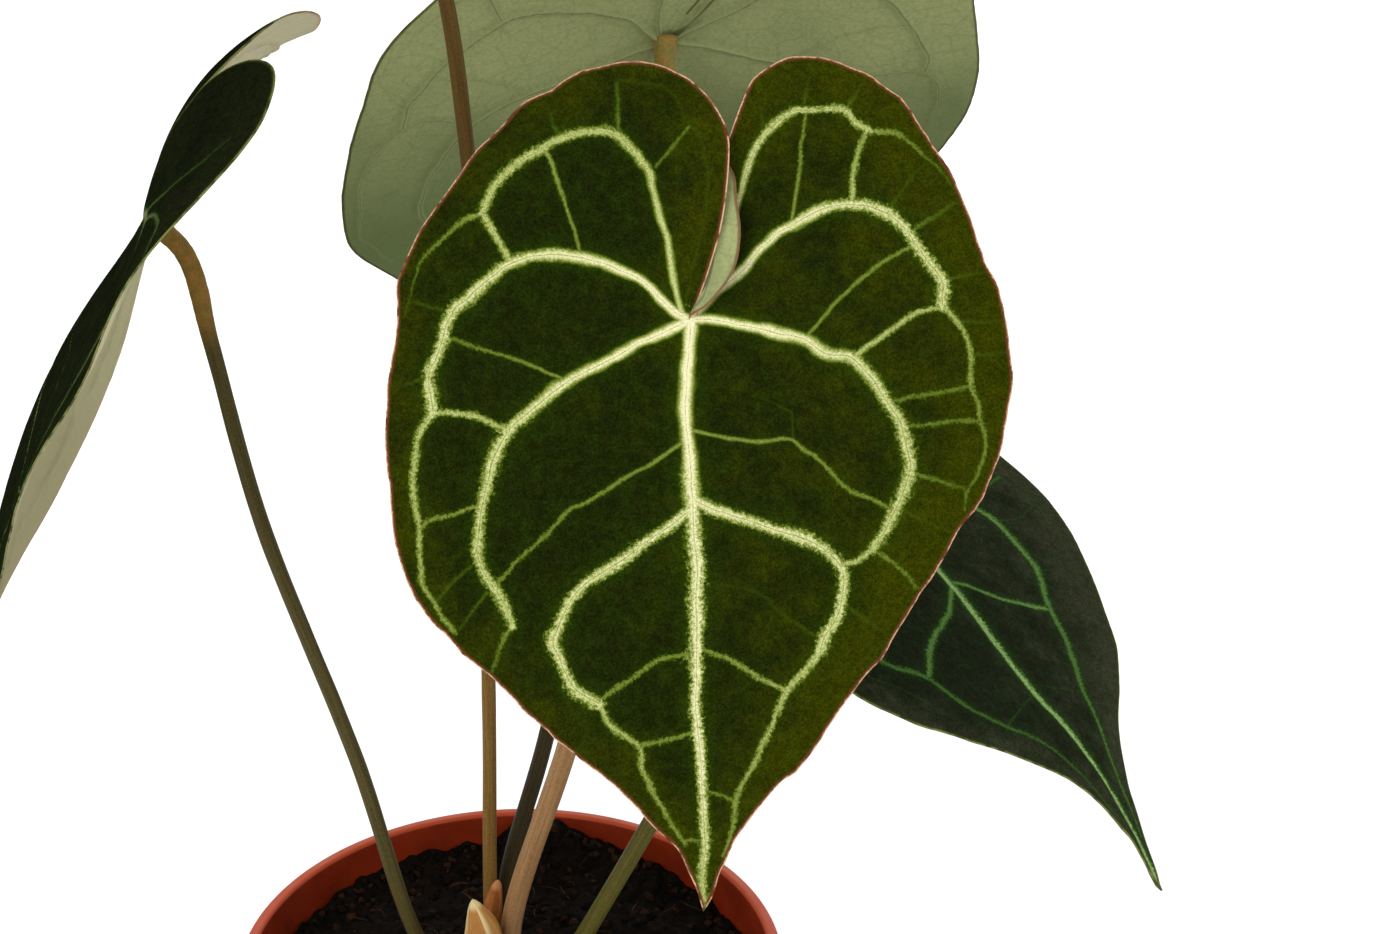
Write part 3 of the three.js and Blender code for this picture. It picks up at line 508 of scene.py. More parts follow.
class Shader:
    """A material's nodes, written as calls, and the colour laid so far."""

    def __init__(self, name):
        self.material = bpy.data.materials.new(name)
        self.material.use_nodes = True
        self.tree = self.material.node_tree
        self.surface = self.tree.nodes["Principled BSDF"]
        self.place = self.node("TexCoord", output="Object")
        self.colour = None

    def node(self, kind, inputs=(), output=0, **settings):
        """Adds a node of this kind and gives one of its outputs."""
        node = self.tree.nodes.new("ShaderNode" + kind)
        for key, value in settings.items():
            setattr(node, key, value)
        for key, value in dict(inputs).items():
            self.put(node.inputs[key], value)
        return Value(self, node.outputs[output])

    def put(self, socket, value):
        """Links or sets an input. Three numbers for a colour are as read from a screen."""
        if isinstance(value, Value):
            self.tree.links.new(value.socket, socket)
        elif socket.type == "RGBA" and len(value) == 3:
            socket.default_value = srgb(*value)
        else:
            socket.default_value = value

    def math(self, operation, *values):
        return self.node("Math", enumerate(values), operation=operation)

    def largest(self, values):
        """The largest of several values at each point."""
        return functools.reduce(lambda first, second: self.math("MAXIMUM", first, second), values)

    def between(self, value, low, high, start=0, end=1):
        """Smooth step of value from start at low to end at high."""
        inputs = enumerate((value, low, high, start, end))
        return self.node("MapRange", inputs, interpolation_type="SMOOTHSTEP")

    def noise(self, size, detail=2, roughness=0.5, at=None):
        """Noise from 0 to 1 with lumps of about this size."""
        inputs = {"Vector": at or self.place, "Scale": 1 / (size * MM), "Detail": detail,
                  "Roughness": roughness}
        return self.node("TexNoise", inputs)

    def patches(self, low, high, size, detail=2, roughness=0.5, start=0, end=1, at=None):
        """Noise as patches: start where it is below low and end where it is above high."""
        return self.between(self.noise(size, detail, roughness, at), low, high, start, end)

    def moved(self, *by):
        """Places moved in space, for noise that differs from another of its kind."""
        return self.node("VectorMath", {0: self.place, 1: by}, operation="ADD")

    def fibre_places(self, across, along, stretch):
        """Places that change fast across the fibres and little along them."""
        return self.node("CombineXYZ", {0: across * FIBRE_SPREAD, 1: along * stretch})

    def carried(self, name, output=2):
        """A number that the mesh carries; output 1 is a vector."""
        return self.node("Attribute", output=output, attribute_name=name)

    def split(self, name):
        """The three numbers of a vector that the mesh carries."""
        whole = self.node("SeparateXYZ", {"Vector": self.carried(name, 1)})
        return [Value(self, socket) for socket in whole.socket.node.outputs]

    def veins(self):
        """For each group of veins: how many half widths off the nearest one is, and its brightness."""
        groups = []
        for number, bright in enumerate(self.split("bright")):
            x, y, distance = self.split(f"vein_{number}")
            length = self.math("SQRT", x * x + y * y)
            far = self.between(distance, 1.8, 2.8)
            groups.append((length * (1 - far) + distance * far, bright))
        return groups

    def mix(self, share, first, second, blend="MIX"):
        """A colour that goes from first to second as share goes from 0 to 1."""
        inputs = {0: share, 6: first, 7: second}
        return self.node("Mix", inputs, output=2, data_type="RGBA", blend_type=blend)

    def lay(self, share, tone):
        """Lays a colour over the ones before it, as dense as share."""
        self.colour = self.mix(share, self.colour, tone)

    def bump(self, height, strength, depth):
        """Gives the surface fine relief that isn't in its mesh."""
        inputs = {"Height": height, "Strength": strength, "Distance": depth * MM}
        self.put(self.surface.inputs["Normal"], self.node("Bump", inputs))

    def finish(self, roughness, **uniform):
        """Puts the colour and the roughness on the surface, and by name what is the same all over."""
        self.put(self.surface.inputs["Base Color"], self.colour)
        self.put(self.surface.inputs["Roughness"], roughness)
        for key, value in uniform.items():
            self.surface.inputs[key.replace("_", " ")].default_value = value
        return self.material


def blade_upper(name, dark, olive, green, vein_colours, rim_colours, gain, soft, sheen):
    """The velvety upper face: dark cells with pale, feathery veins that fade out through green."""
    s = Shader(name)
    margin, lit_side_and_olive_margin, _ = s.split("facts")
    reach = s.carried("reach")
    fringe = (s.noise(0.6, 4, 0.75) - 0.5) * s.between(reach, 14, 44, 0.2, 1.35)
    parts, glows = [], []
    for near, bright in s.veins():
        ragged = near + fringe * s.between(bright, 0.3, 0.9, 2.8, 2)
        core = s.between(ragged, 0, 1.65, 1, 0)
        fall = s.between(bright, 0.3, 0.9, -1.3 * soft, -2.6 * soft)
        halo = s.math("POWER", 2, s.math("MAXIMUM", ragged - 0.6, 0) * fall)
        strength = s.math("MAXIMUM", core, halo * 0.34)
        groove = s.between(near, 0.02, 0.14, 1, 0) * s.between(bright, 0.65, 0.95, 0, 0.26)
        parts.append(strength * bright - groove)
        glows.append(s.between(near, 0.6, 4.2, 1, 0) * bright)
    level = s.largest(parts) * gain * s.between(reach, 6, 40, 1, 0.86)
    grain = s.noise(0.26, 2, 0.6) - 0.5
    level = level + grain * level
    cloud = s.noise(7, 4, 0.6) - 0.5
    # Painted light: the cells turn olive on the side that faces the light. Near the margin the olive is the
    # leaf's own.
    s.colour = s.mix(s.between(lit_side_and_olive_margin + cloud * 1.6, 0, 1), dark, olive)
    s.lay(s.math("MAXIMUM", s.largest(glows) * 0.4, s.patches(0.42, 0.68, 3, 4, 0.65) * 0.25), green)
    speckle = s.patches(0.25, 0.75, 0.4, 3, 0.8, 0.55, 1.45) * s.patches(0.3, 0.7, 1.6, 3, 0.7, 0.78, 1.2)
    speckle = s.node("CombineColor", {0: speckle, 1: speckle, 2: speckle})
    s.colour = s.mix(1, s.colour, speckle, "MULTIPLY")
    ramp = s.node("ValToRGB", {0: level})
    elements = ramp.socket.node.color_ramp.elements
    while len(elements) < len(VEIN_LEVELS):
        elements.new(0.5)
    for element, place, tone in zip(elements, VEIN_LEVELS, vein_colours):
        element.position = place
        element.color = srgb(*tone)
    s.lay(s.between(level, 0.02, 0.34), ramp)
    edge = margin + fringe * 0.4
    s.lay(s.between(edge, 0.35, 0.8, 1, 0), rim_colours[0])
    # Painted glints along the very edge, in the rim's light tone
    s.lay(s.between(edge, 0.12, 0.32, 1, 0) * s.patches(0.34, 0.54, 2.6, 3), rim_colours[1])
    s.bump(s.noise(0.3, 3) * 0.6 + s.noise(1.4), 0.35, 0.12)
    return s.finish(0.8, Specular_IOR_Level=0.0, Sheen_Weight=sheen, Sheen_Roughness=0.5,
                    Sheen_Tint=VELVET_TINT)


def blade_under(name, pale, green, line_colour, rim_colour, contrast):
    """The matt underside: pale grey-green, painted paler where it stands higher, with thin dark veins on low
    ridges.
    """
    s = Shader(name)
    margin, _, light = s.split("facts")
    ridges, lines, sides = [], [], []
    for near, bright in s.veins():
        ridges.append(s.between(near, 0.2, 1, 1, 0) * bright)
        sides.append(s.between(near, 0.8, 3, 1, 0) * bright)
        lines.append(s.between(near, 0.05, 0.4, 1, 0) * s.between(bright, 0.05, 0.8, 0.25, 0.75))
    # Painted light: green low down, paler where the blade stands higher
    s.colour = s.mix(s.between(light + s.noise(30, 3) * 0.7, 0.3, 1.3), green, pale)
    s.lay(s.patches(0.35, 0.7, 0.8, 5, 0.75) * 0.35, line_colour)
    web = s.node("TexVoronoi", {"Vector": s.place, "Scale": 1 / (WEB_SIZE * MM)}, "Distance",
                 feature="DISTANCE_TO_EDGE")
    s.lay(s.between(web, 0, 0.06, 0.16, 0), line_colour)
    s.lay(s.largest(sides) * 0.2, line_colour)
    s.lay(s.largest(ridges) * 0.4, pale)
    s.lay(s.largest(lines) * contrast, [c * DEEPER for c in line_colour])
    s.lay(s.between(margin, 0.3, 0.75, 0.8, 0), rim_colour)
    s.bump(s.noise(0.6, 4), 0.3, 0.1)
    return s.finish(0.75, Specular_IOR_Level=0.03)


def blade_rim(name, dark, light):
    """The thin edge between a blade's faces: its dark tone with patches of painted glint."""
    s = Shader(name)
    s.colour = s.mix(s.patches(0.34, 0.56, 2.6, 3), dark, light)
    s.bump(s.noise(0.5), 0.4, 0.1)
    return s.finish(0.6, Specular_IOR_Level=0.12)


def stalk_material(name, dark, light, joint, joint_green, shade=1.0):
    """Fine lengthwise streaks and specks, and a mottled swollen joint under the blade."""
    s = Shader(name)
    around, from_foot, from_top = s.split("facts")
    streak_at = s.fibre_places(around, from_foot, STREAK_STRETCH)
    streaks = s.patches(0.2, 0.8, 0.5, 3, 0.6, at=streak_at)
    broad = s.patches(0.4, 0.6, 1.4, 2, 0.5, at=streak_at)
    s.colour = s.mix(streaks * 0.5 + broad * 0.5, dark, light)
    s.lay(s.patches(0.4, 0.62, 0.3, 3, 0.7) * 0.45, [min(255, c * LIGHTER) for c in light])
    s.lay(s.between(from_foot, 60, 190, 0, 1 - shade), STALK_SHADE)
    knee = s.mix(s.patches(0.4, 0.66, 2.2, 3), joint, joint_green)
    knee = s.mix(s.patches(0.5, 0.6, 0.35, 3) * 0.4, knee, JOINT_SPECK)
    s.lay(s.between(from_top, 17, 25, 1, 0), knee)
    s.lay(s.between(from_foot, 4, 22, 0.5, 0), STALK_EARTH)
    s.bump(streaks * 0.3 + s.noise(0.4, 3), 0.3, 0.1)
    return s.finish(0.5, Specular_IOR_Level=0.08)


def pot_material():
    """Moulded plastic: rim painted lighter as lit, inner wall painted darker as shade, dusty marks, peat
    stains and algae inside.
    """
    s = Shader("pot")
    height, inside, rim = s.split("facts")
    s.colour = s.mix(s.patches(0.3, 0.7, 22, 3), (152, 56, 31), (159, 61, 35))
    # Painted light: the rim band is lighter, as it faces the light
    s.lay(rim, (164, 66, 38))
    # Painted shade: the inner wall is a darker red, as the inside of the pot lies in shade
    wall = s.mix(s.patches(0.35, 0.7, 8, 4), (116, 33, 8), (96, 26, 5))
    # Peat stains and painted shade, darker down towards the soil
    stain_and_shade = s.between(s.noise(3.2, 4, 0.65) + (96 - height) * 0.05, 0.62, 0.76)
    wall = s.mix(stain_and_shade * 0.85, wall, PEAT_STAIN_AND_SHADE)
    wall = s.mix(s.patches(0.62, 0.72, 5, 5, 0.7, at=s.moved(0.3, 0.1, 0.2)) * 0.4, wall, ALGAE)
    s.lay(inside, wall)
    s.lay(s.patches(0.6, 0.75, 0.5, 4, 0.7, 0, 0.25), DUST)
    s.bump(s.noise(0.7, 3), 0.12, 0.1)
    rough = s.patches(0.3, 0.7, 6, 3, 0.5, 0.4, 0.55)
    return s.finish(rough, Specular_IOR_Level=0.2, Specular_Tint=PLASTIC_TINT)


def soil_material(name, dark, brown, fleck):
    """Damp peat with flecks of bark."""
    s = Shader(name)
    s.colour = s.mix(s.patches(0.35, 0.7, 2.4, 5, 0.7), dark, brown)
    s.lay(s.patches(0.64, 0.7, 0.9, 4, 0.7, at=s.moved(0.7, 0.2, 0.5)) * 0.7, fleck)
    s.bump(s.noise(0.5, 5, 0.7) + s.noise(1.8, 4), 0.9, 0.5)
    return s.finish(0.85, Specular_IOR_Level=0.05)


def scattered_material(name, dark, light, speck_size):
    """For crumbs and fibres: each lies between two colours by its own tone."""
    s = Shader(name)
    s.colour = s.mix(s.between(s.carried("tone"), 0, 1), dark, light)
    s.lay(s.patches(0.4, 0.7, speck_size, 4, 0.7, 0, 0.6), [c * DEEPER for c in dark])
    s.bump(s.noise(0.3, 3), 0.6, 0.15)
    return s.finish(0.85, Specular_IOR_Level=0.05)


def husk_material(name, dark, light, edge, patch):
    """Papery bud sheath or crown bark with fibres, patches and pale folds, partly their own tone and partly
    painted highlight.
    """
    s = Shader(name)
    across, along, fold = s.split("facts")
    fibres = s.patches(0.35, 0.65, 0.4, 4, 0.6, at=s.fibre_places(across, along, HUSK_STRETCH))
    s.colour = s.mix(fibres, dark, light)
    s.lay(s.patches(0.35, 0.68, 3, 4) * 0.6, patch)
    # Pale folds: the papery edges' own tone and a painted highlight along them
    s.lay(s.between(fold, 0.1, 0.9), edge)
    s.lay(s.between(fold, 1.5, 2.5), HAIR)
    s.bump(fibres, 0.5, 0.15)
    return s.finish(0.6, Specular_IOR_Level=0.1)


# Blades

# Beyond this many half widths or leaf units a vein isn't felt
FAR = 9.0
# Points along a vein when its distance from the others is measured
VEIN_SAMPLES = 40
# The kinks of the front leaf's margin are left out on the others by taking one point in so many
PLAIN_STEP = 3
# Rings crowd towards the margin by this power, and a roll goes almost half round
RING_EASE = 0.85
FULL_ROLL = np.pi * 0.97
# Radius of the roll just before it starts
FIRST_ROLL_RADIUS = 0.9
# The dark streak on the roll: its place as a share of the roll, its half width and its brightness
STREAK_PLACE = 0.55
STREAK_WIDTH = 0.8
STREAK_BRIGHTNESS = 0.8
# How deep the upper face is let in along veins, broadly and close to them
BROAD_DIP, SHARP_DIP = 0.35, 0.2
# How high the veins stand out below at the stalk's end, and how much less further out
RIDGE_HEIGHT, RIDGE_LOSS = 0.95, 0.45
# How far the front leaf's lobes stand forward and back where they overlap
LEFT_LOBE_LIFT, RIGHT_LOBE_LIFT = 2.3, -1.6


def blend_zones(zones, y):
    """A value given at the lobes, the stalk and the tip, for places along the midrib."""
    lobes, stalk, tip = zones
    return stalk + (lobes - stalk) * smoothstep(y, 0, LOBE_REACH) + (tip - stalk) * smoothstep(-y, 0, 100)


def walk(length, angle):
    """Walk curves that turn by angle(s): how far they get ahead and down, and the last angle."""
    ahead = np.zeros_like(length)
    down = np.zeros_like(length)
    for k in range(BEND_STEPS):
        turn = angle(length * (k + 0.5) / BEND_STEPS)
        ahead += np.cos(turn) * length / BEND_STEPS
        down += np.sin(turn) * length / BEND_STEPS
    return ahead, down, angle(length)


def leaf_axes(leaf):
    """Directions across a leaf, towards its lobes and out of its upper face, where the stalk ends."""
    lobewards = -unit(leaf["tip"])
    face = np.array(leaf["face"], float)
    face = unit(face - (face @ lobewards) * lobewards)
    return np.cross(lobewards, face), lobewards, face


def on_blade(leaf, x, y):
    """Points and normals of a blade's middle surface for leaf units, the same as the solids have."""
    across, lobewards, face = leaf_axes(leaf)
    midrib = leaf["midrib"]
    scale = midrib / 100
    x = leaf["mirror"] * x
    slimming = np.clip((-y - TIP_START) / (100 - TIP_START), 0, 1) ** TIP_EASE
    out = np.abs(x) * scale * leaf["width"] * (1 - leaf["slim"] * np.sin(np.pi * slimming))
    tipward = y < 0

    def along_angle(s):
        """The angle by which the midrib has turned after a length."""
        hump = s / (HUMP_AT * scale) * np.exp(1 - s / (HUMP_AT * scale))
        to_tip = leaf["bend"] * (s / midrib) ** 1.5 - leaf["rise"][1] * hump
        to_lobe = leaf["lobe_bend"] * s / (LOBE_REACH * scale) - leaf["rise"][0] * hump
        return np.radians(np.where(tipward, to_tip, to_lobe))

    ahead, down, turn = walk(np.abs(y) * scale, along_angle)
    way = np.where(tipward, -1.0, 1.0)[:, None]
    up = np.cos(turn)[:, None] * face + way * np.sin(turn)[:, None] * lobewards
    left = x < 0
    fold = np.where(left, blend_zones(leaf["fold_left"], y), blend_zones(leaf["fold_right"], y))
    curl = np.where(left, *leaf["curl"])
    out_ahead, out_down, out_turn = walk(out, lambda s: np.radians(
        fold * (1 - np.exp(-s / FOLD_SOFTNESS)) + curl * s / (HALF_WIDTH * scale)))
    side = np.where(left, -1.0, 1.0)[:, None]
    point = np.array(leaf["at"]) + way * ahead[:, None] * lobewards - down[:, None] * face
    point = point + side * out_ahead[:, None] * across - out_down[:, None] * up
    normal = np.cos(out_turn)[:, None] * up + side * np.sin(out_turn)[:, None] * across
    return point, normal


def vein_groups(veins):
    """Veins in three groups, so that those that meet are in different ones."""
    groups = [[], [], []]
    for vein in veins:
        line = smooth_curve(vein[4], VEIN_SAMPLES)
        apart = []
        for group in groups:
            gaps = [np.linalg.norm(line[:, None] - other[None], axis=2).min() for _, other in group]
            apart.append(min(gaps, default=np.inf))
        groups[int(np.argmax(apart))].append((vein, line))
    return [[vein for vein, _ in group] for group in groups]


def warped(line, leaf_name, seed):
    """A vein of the front leaf as a leaf without a net of its own has it."""
    if leaf_name in NETS:
        return line
    x, y = line.T
    wave = np.column_stack([np.sin(0.11 * y + seed) + np.sin(0.23 * x + 2 * seed),
                            np.sin(0.13 * x + 3 * seed) + np.sin(0.19 * y - seed)])
    return line + 0.8 * smoothstep(np.linalg.norm(line, axis=1), 4, 30)[:, None] * wave


def vein_field(veins, x, y, scale, thin):
    """Per point: offset from the nearest vein in its half widths, that distance, and its brightness."""
    points = np.column_stack([x, y])
    near = np.full(len(x), FAR)
    offset = np.tile([FAR, 0.0], (len(x), 1))
    bright = np.zeros(len(x))
    for wide, narrow, bright_start, bright_end, line in veins:
        line = smooth_curve(line, 3 * len(line))
        felt = (points > line.min(axis=0) - FAR) & (points < line.max(axis=0) + FAR)
        close = np.flatnonzero(felt.all(axis=1))
        away, share = to_line(points[close], line)
        away = away * scale / (wide + (narrow - wide) * share)[:, None] / thin[close, None]
        distance = np.linalg.norm(away, axis=1)
        first = distance < near[close]
        chosen = close[first]
        near[chosen] = distance[first]
        offset[chosen] = away[first]
        bright[chosen] = (bright_start + (bright_end - bright_start) * share)[first]
    return np.column_stack([offset, near]), bright


def leaf_net(leaf_name, x, y, flat, seed):
    """The fields of the three groups of veins and their brightnesses."""
    leaf = LEAVES[leaf_name]
    scale = leaf["midrib"] / 100
    from_stalk = np.hypot(x, y)
    thin = leaf["thin"] * (0.62 + 0.36 * smoothstep(from_stalk, 4, 42))
    # Small wanderings and swellings keep the veins from looking drawn
    calm = smoothstep(from_stalk, 1, 8)
    x, y = (value + calm * noise_layers(flat, (0.2, 1.8, seed + k), (0.35, 6, seed + k))
            for value, k in ((x, 20), (y, 30)))
    swelling = 1 + noise_layers(flat, (0.14, 3, seed + 40), (0.1, 1.3, seed + 50))
    fields, shine = [], []
    for veins in vein_groups(NETS.get(leaf_name, VEINS)):
        veins = [(*vein[:4], warped(np.array(vein[4], float), leaf_name, seed)) for vein in veins]
        field, bright = vein_field(veins, x, y, scale, thin)
        fields.append(field * swelling[:, None])
        shine.append(bright)
    return fields, shine


def leaf_paths(leaf, side_count, ring_count, seed):
    """The margin; and for all points x, y, the way gone on the roll and the way left to the margin."""
    if leaf["rolled"]:
        left = LEFT_MARGIN
        right = [(x, y, 0.0, FIRST_ROLL_RADIUS) for x, y in RIGHT_MARGIN] + ROLLED_NOTCH
    else:
        left = LEFT_MARGIN[::PLAIN_STEP]
        right = RIGHT_MARGIN[:-1:PLAIN_STEP] + RIGHT_MARGIN[-1:] + PLAIN_NOTCH
    no_roll = np.column_stack([np.zeros(side_count), np.ones(side_count)])
    left = np.column_stack([smooth_curve(left, side_count), no_roll])
    right = np.column_stack([smooth_curve(right, side_count), no_roll])[:, :4]
    margin = np.vstack([left, right[1:]])
    flat = np.column_stack([margin[:, :2], np.full(len(margin), seed * 10.0)])
    ripple = leaf["ripple"] * noise_layers(flat, (0.22, 4, seed), (0.14, 1.1, seed + 1))
    reach = np.linalg.norm(margin[:, :2], axis=1)
    margin[:, :2] *= (1 + ripple * smoothstep(reach, 15, 35) / reach)[:, None]
    straight = reach * leaf["midrib"] / 100
    roll = np.maximum(margin[:, 2], 0)
    share = (np.arange(1, ring_count + 1) / ring_count) ** RING_EASE
    travelled = share[:, None] * (straight + roll)[None, :]
    part = np.minimum(travelled / straight, 1)
    rolled = np.maximum(travelled - straight, 0)
    to_go = (straight + roll)[None, :] - travelled
    rings = (part * margin[:, 0], part * margin[:, 1], rolled, to_go)
    return margin, [np.r_[first, values.ravel()] for first, values in zip((0, 0, 0, 40.0), rings)]


def front_overlap(x, y, left_half):
    """The left lobe stands a little in front of the right one where they meet at the notch."""
    rising = smoothstep(y, 0.5, 7)
    left_lift = LEFT_LOBE_LIFT * smoothstep(x, -14, 2) * rising * (1 - smoothstep(y, 30, 43))
    right_lift = RIGHT_LOBE_LIFT * (1 - smoothstep(x, 4, 20)) * rising * (1 - smoothstep(y, 26, 40))
    return np.where(left_half, left_lift, right_lift)


def blade_faces(ring_count, spokes, mirrored):
    """Groups of faces: upper, lower, the wall between them, and both fans round the stalk's end."""
    layer = 1 + ring_count * spokes

    def wall(start, end):
        """Quads between the upper and the lower face along an edge."""
        return np.column_stack([start, start + layer, end + layer, end])

    quads = grid_faces(ring_count, spokes, 1)
    steps = np.arange(1, spokes)
    fan = np.column_stack([np.zeros_like(steps), steps, steps + 1])
    rim = layer - spokes + np.arange(spokes)
    first = np.r_[0, 1 + np.arange(ring_count) * spokes]
    last = np.r_[0, spokes + np.arange(ring_count) * spokes]
    walls = np.vstack([wall(rim[:-1], rim[1:]), wall(first[:-1], first[1:]), wall(last[1:], last[:-1])])
    groups = [quads[:, ::-1], quads + layer, walls, fan, fan[:, ::-1] + layer]
    return [group[:, ::-1] for group in groups] if mirrored else groups


def make_blade(leaf_name, side_count, ring_count, seed, materials):
    """Both faces of a blade with their veins, and the margin between them."""
    leaf = LEAVES[leaf_name]
    scale = leaf["midrib"] / 100
    margin, (x, y, rolled, to_go) = leaf_paths(leaf, side_count, ring_count, seed)
    left_half = np.r_[True, np.tile(np.arange(len(margin)) < side_count, ring_count)]
    flat = np.column_stack([x, y, np.full(len(x), seed * 7.0)])
    from_stalk = np.hypot(x, y)
    fields, shine = leaf_net(leaf_name, x, y, flat, seed)
    if leaf["rolled"]:
        # The rolled part has no veins but a dark streak along it
        on_roll = rolled > 0
        roll = np.r_[0.0, np.tile(np.maximum(margin[:, 2], 0), ring_count)]
        streak = (rolled - STREAK_PLACE * roll) / STREAK_WIDTH
        for field in fields:
            field[on_roll] = FAR
        fields[-1][on_roll] = np.column_stack([streak, np.zeros(len(x)), np.abs(streak)])[on_roll]
        shine[-1][on_roll] = STREAK_BRIGHTNESS
    near = np.array([field[:, 2] for field in fields])
    shine = np.array(shine)

    points = np.column_stack([x, y])
    outer = margin[side_count - 1:]
    outer = outer[outer[:, 2] <= 0.01]
    to_left, to_right = (np.linalg.norm(to_line(points, side[::2, :2])[0], axis=1) * scale
                         for side in (margin[:side_count], outer))
    to_margin = np.where(left_half, to_left, to_right)
    to_margin = np.where(rolled > 0, np.minimum(to_go, to_margin + 3), to_margin)

    middle, normal = on_blade(leaf, x, y)
    height = 0.55 * value_noise(flat, 19, seed) * smoothstep(from_stalk, 5, 25)
    height += 0.16 * value_noise(flat, 6, seed + 3)
    height += 0.5 * (1 - smoothstep(to_margin, 0, 6)) * value_noise(flat, 8, seed + 5)
    height *= leaf["waves"]
    height -= (BROAD_DIP * (shine * np.exp(-0.45 * near)).max(axis=0)
               + SHARP_DIP * (shine * np.exp(-near**2)).max(axis=0))
    if leaf["rolled"]:
        height += front_overlap(x, y, left_half)
    middle = middle + height[:, None] * normal

    radius = np.r_[1.0, np.tile(margin[:, 3], ring_count)]
    turn = np.minimum(rolled / radius, FULL_ROLL)
    beyond = rolled - turn * radius
    outwards = -leaf_axes(leaf)[0] * leaf["mirror"]
    curled = middle + (radius * np.sin(turn) + beyond * np.cos(turn))[:, None] * outwards
    curled += (radius * (1 - np.cos(turn)) + beyond * np.sin(turn))[:, None] * normal
    facing = np.cos(turn)[:, None] * normal - np.sin(turn)[:, None] * outwards

    half = BLADE_THICKNESS / 2 * (0.7 + 0.3 * smoothstep(to_margin, 0.2, 3))
    ridge = (shine**1.5 * np.exp(-1.3 * near**2)).max(axis=0)
    ridge *= RIDGE_HEIGHT - RIDGE_LOSS * smoothstep(from_stalk, 2, 30)
    upper = curled + half[:, None] * facing
    lower = curled - (half + ridge)[:, None] * facing

    faces = blade_faces(ring_count, len(margin), leaf["mirror"] < 0)
    slots = np.concatenate([np.full(len(group), slot) for group, slot in zip(faces, (0, 1, 2, 0, 1))])
    # Painted light: lighter, warmer cells towards the right half, which faces the light; the olive near the
    # margin is the leaf's own
    lit_side_and_olive_margin = smoothstep(x, -30, 45) * 0.5 + 0.5 * (1 - smoothstep(to_margin, 1, 14))
    # Painted light for the underside: paler the higher a point stands and the further left it is
    upwards = middle[:, 2] - 0.05 * middle[:, 0]
    light = smoothstep(upwards, *np.percentile(upwards, (10, 95)))
    carried = {f"vein_{number}": field for number, field in enumerate(fields)}
    carried.update(bright=shine.T, facts=np.column_stack([to_margin, lit_side_and_olive_margin, light]), reach=from_stalk)
    piece = mesh_piece(f"leaf_{leaf_name}", np.vstack([upper, lower]), faces, materials, slots,
                       {key: np.concatenate([value, value]) for key, value in carried.items()})
    stand_in(piece, f"blade_{leaf_name}")


# Stalks

STALK_ROWS, STALK_SIDES = 220, 36
# How far the end of a stalk's path lies below the blade's middle surface
STALK_SINK = 0.2
# Shares by which a stalk is thicker at its joint, foot and very end, and over which length that fades
JOINT_SWELL = 0.22
FOOT_SWELL, FOOT_LENGTH = 0.2, 14
FLARE, FLARE_LENGTH = 0.5, 1.6
RIB_DEPTH = 0.035
WRINKLE_DEPTH = 0.045
# The last stretch of a stalk, which stays this far under its blade
STALK_CLEARANCE = 0.15
CUT_LENGTH = 15


def carried_axes(path):
    """Two directions square to the path at each of its points, turning as little as they can."""
    ahead = unit(np.gradient(path, axis=0))
    side = unit(np.cross(ahead[0], [0, 1, 0.1]))
    sides = [side]
    for direction in ahead[1:]:
        side = unit(side - (side @ direction) * direction)
        sides.append(side)
    sides = np.array(sides)
    return sides, np.cross(ahead, sides)


def tube(path, radius, sides):
    """Rows of points round a path; radius is one number for each row or for each point."""
    first, second = carried_axes(path)
    turn = full_turn(sides)
    radius = np.asarray(radius, float)
    radius = radius[:, None] if radius.ndim == 1 else radius
    ring = np.cos(turn)[None, :, None] * first[:, None, :] + np.sin(turn)[None, :, None] * second[:, None, :]
    return path[:, None, :] + radius[..., None] * ring


def closed_tube(path, radius, sides):
    """Points and faces of a tube with its ends shut."""
    points = np.vstack([tube(path, radius, sides).reshape(-1, 3), path[0], path[-1]])
    return points, capped(len(path), sides)


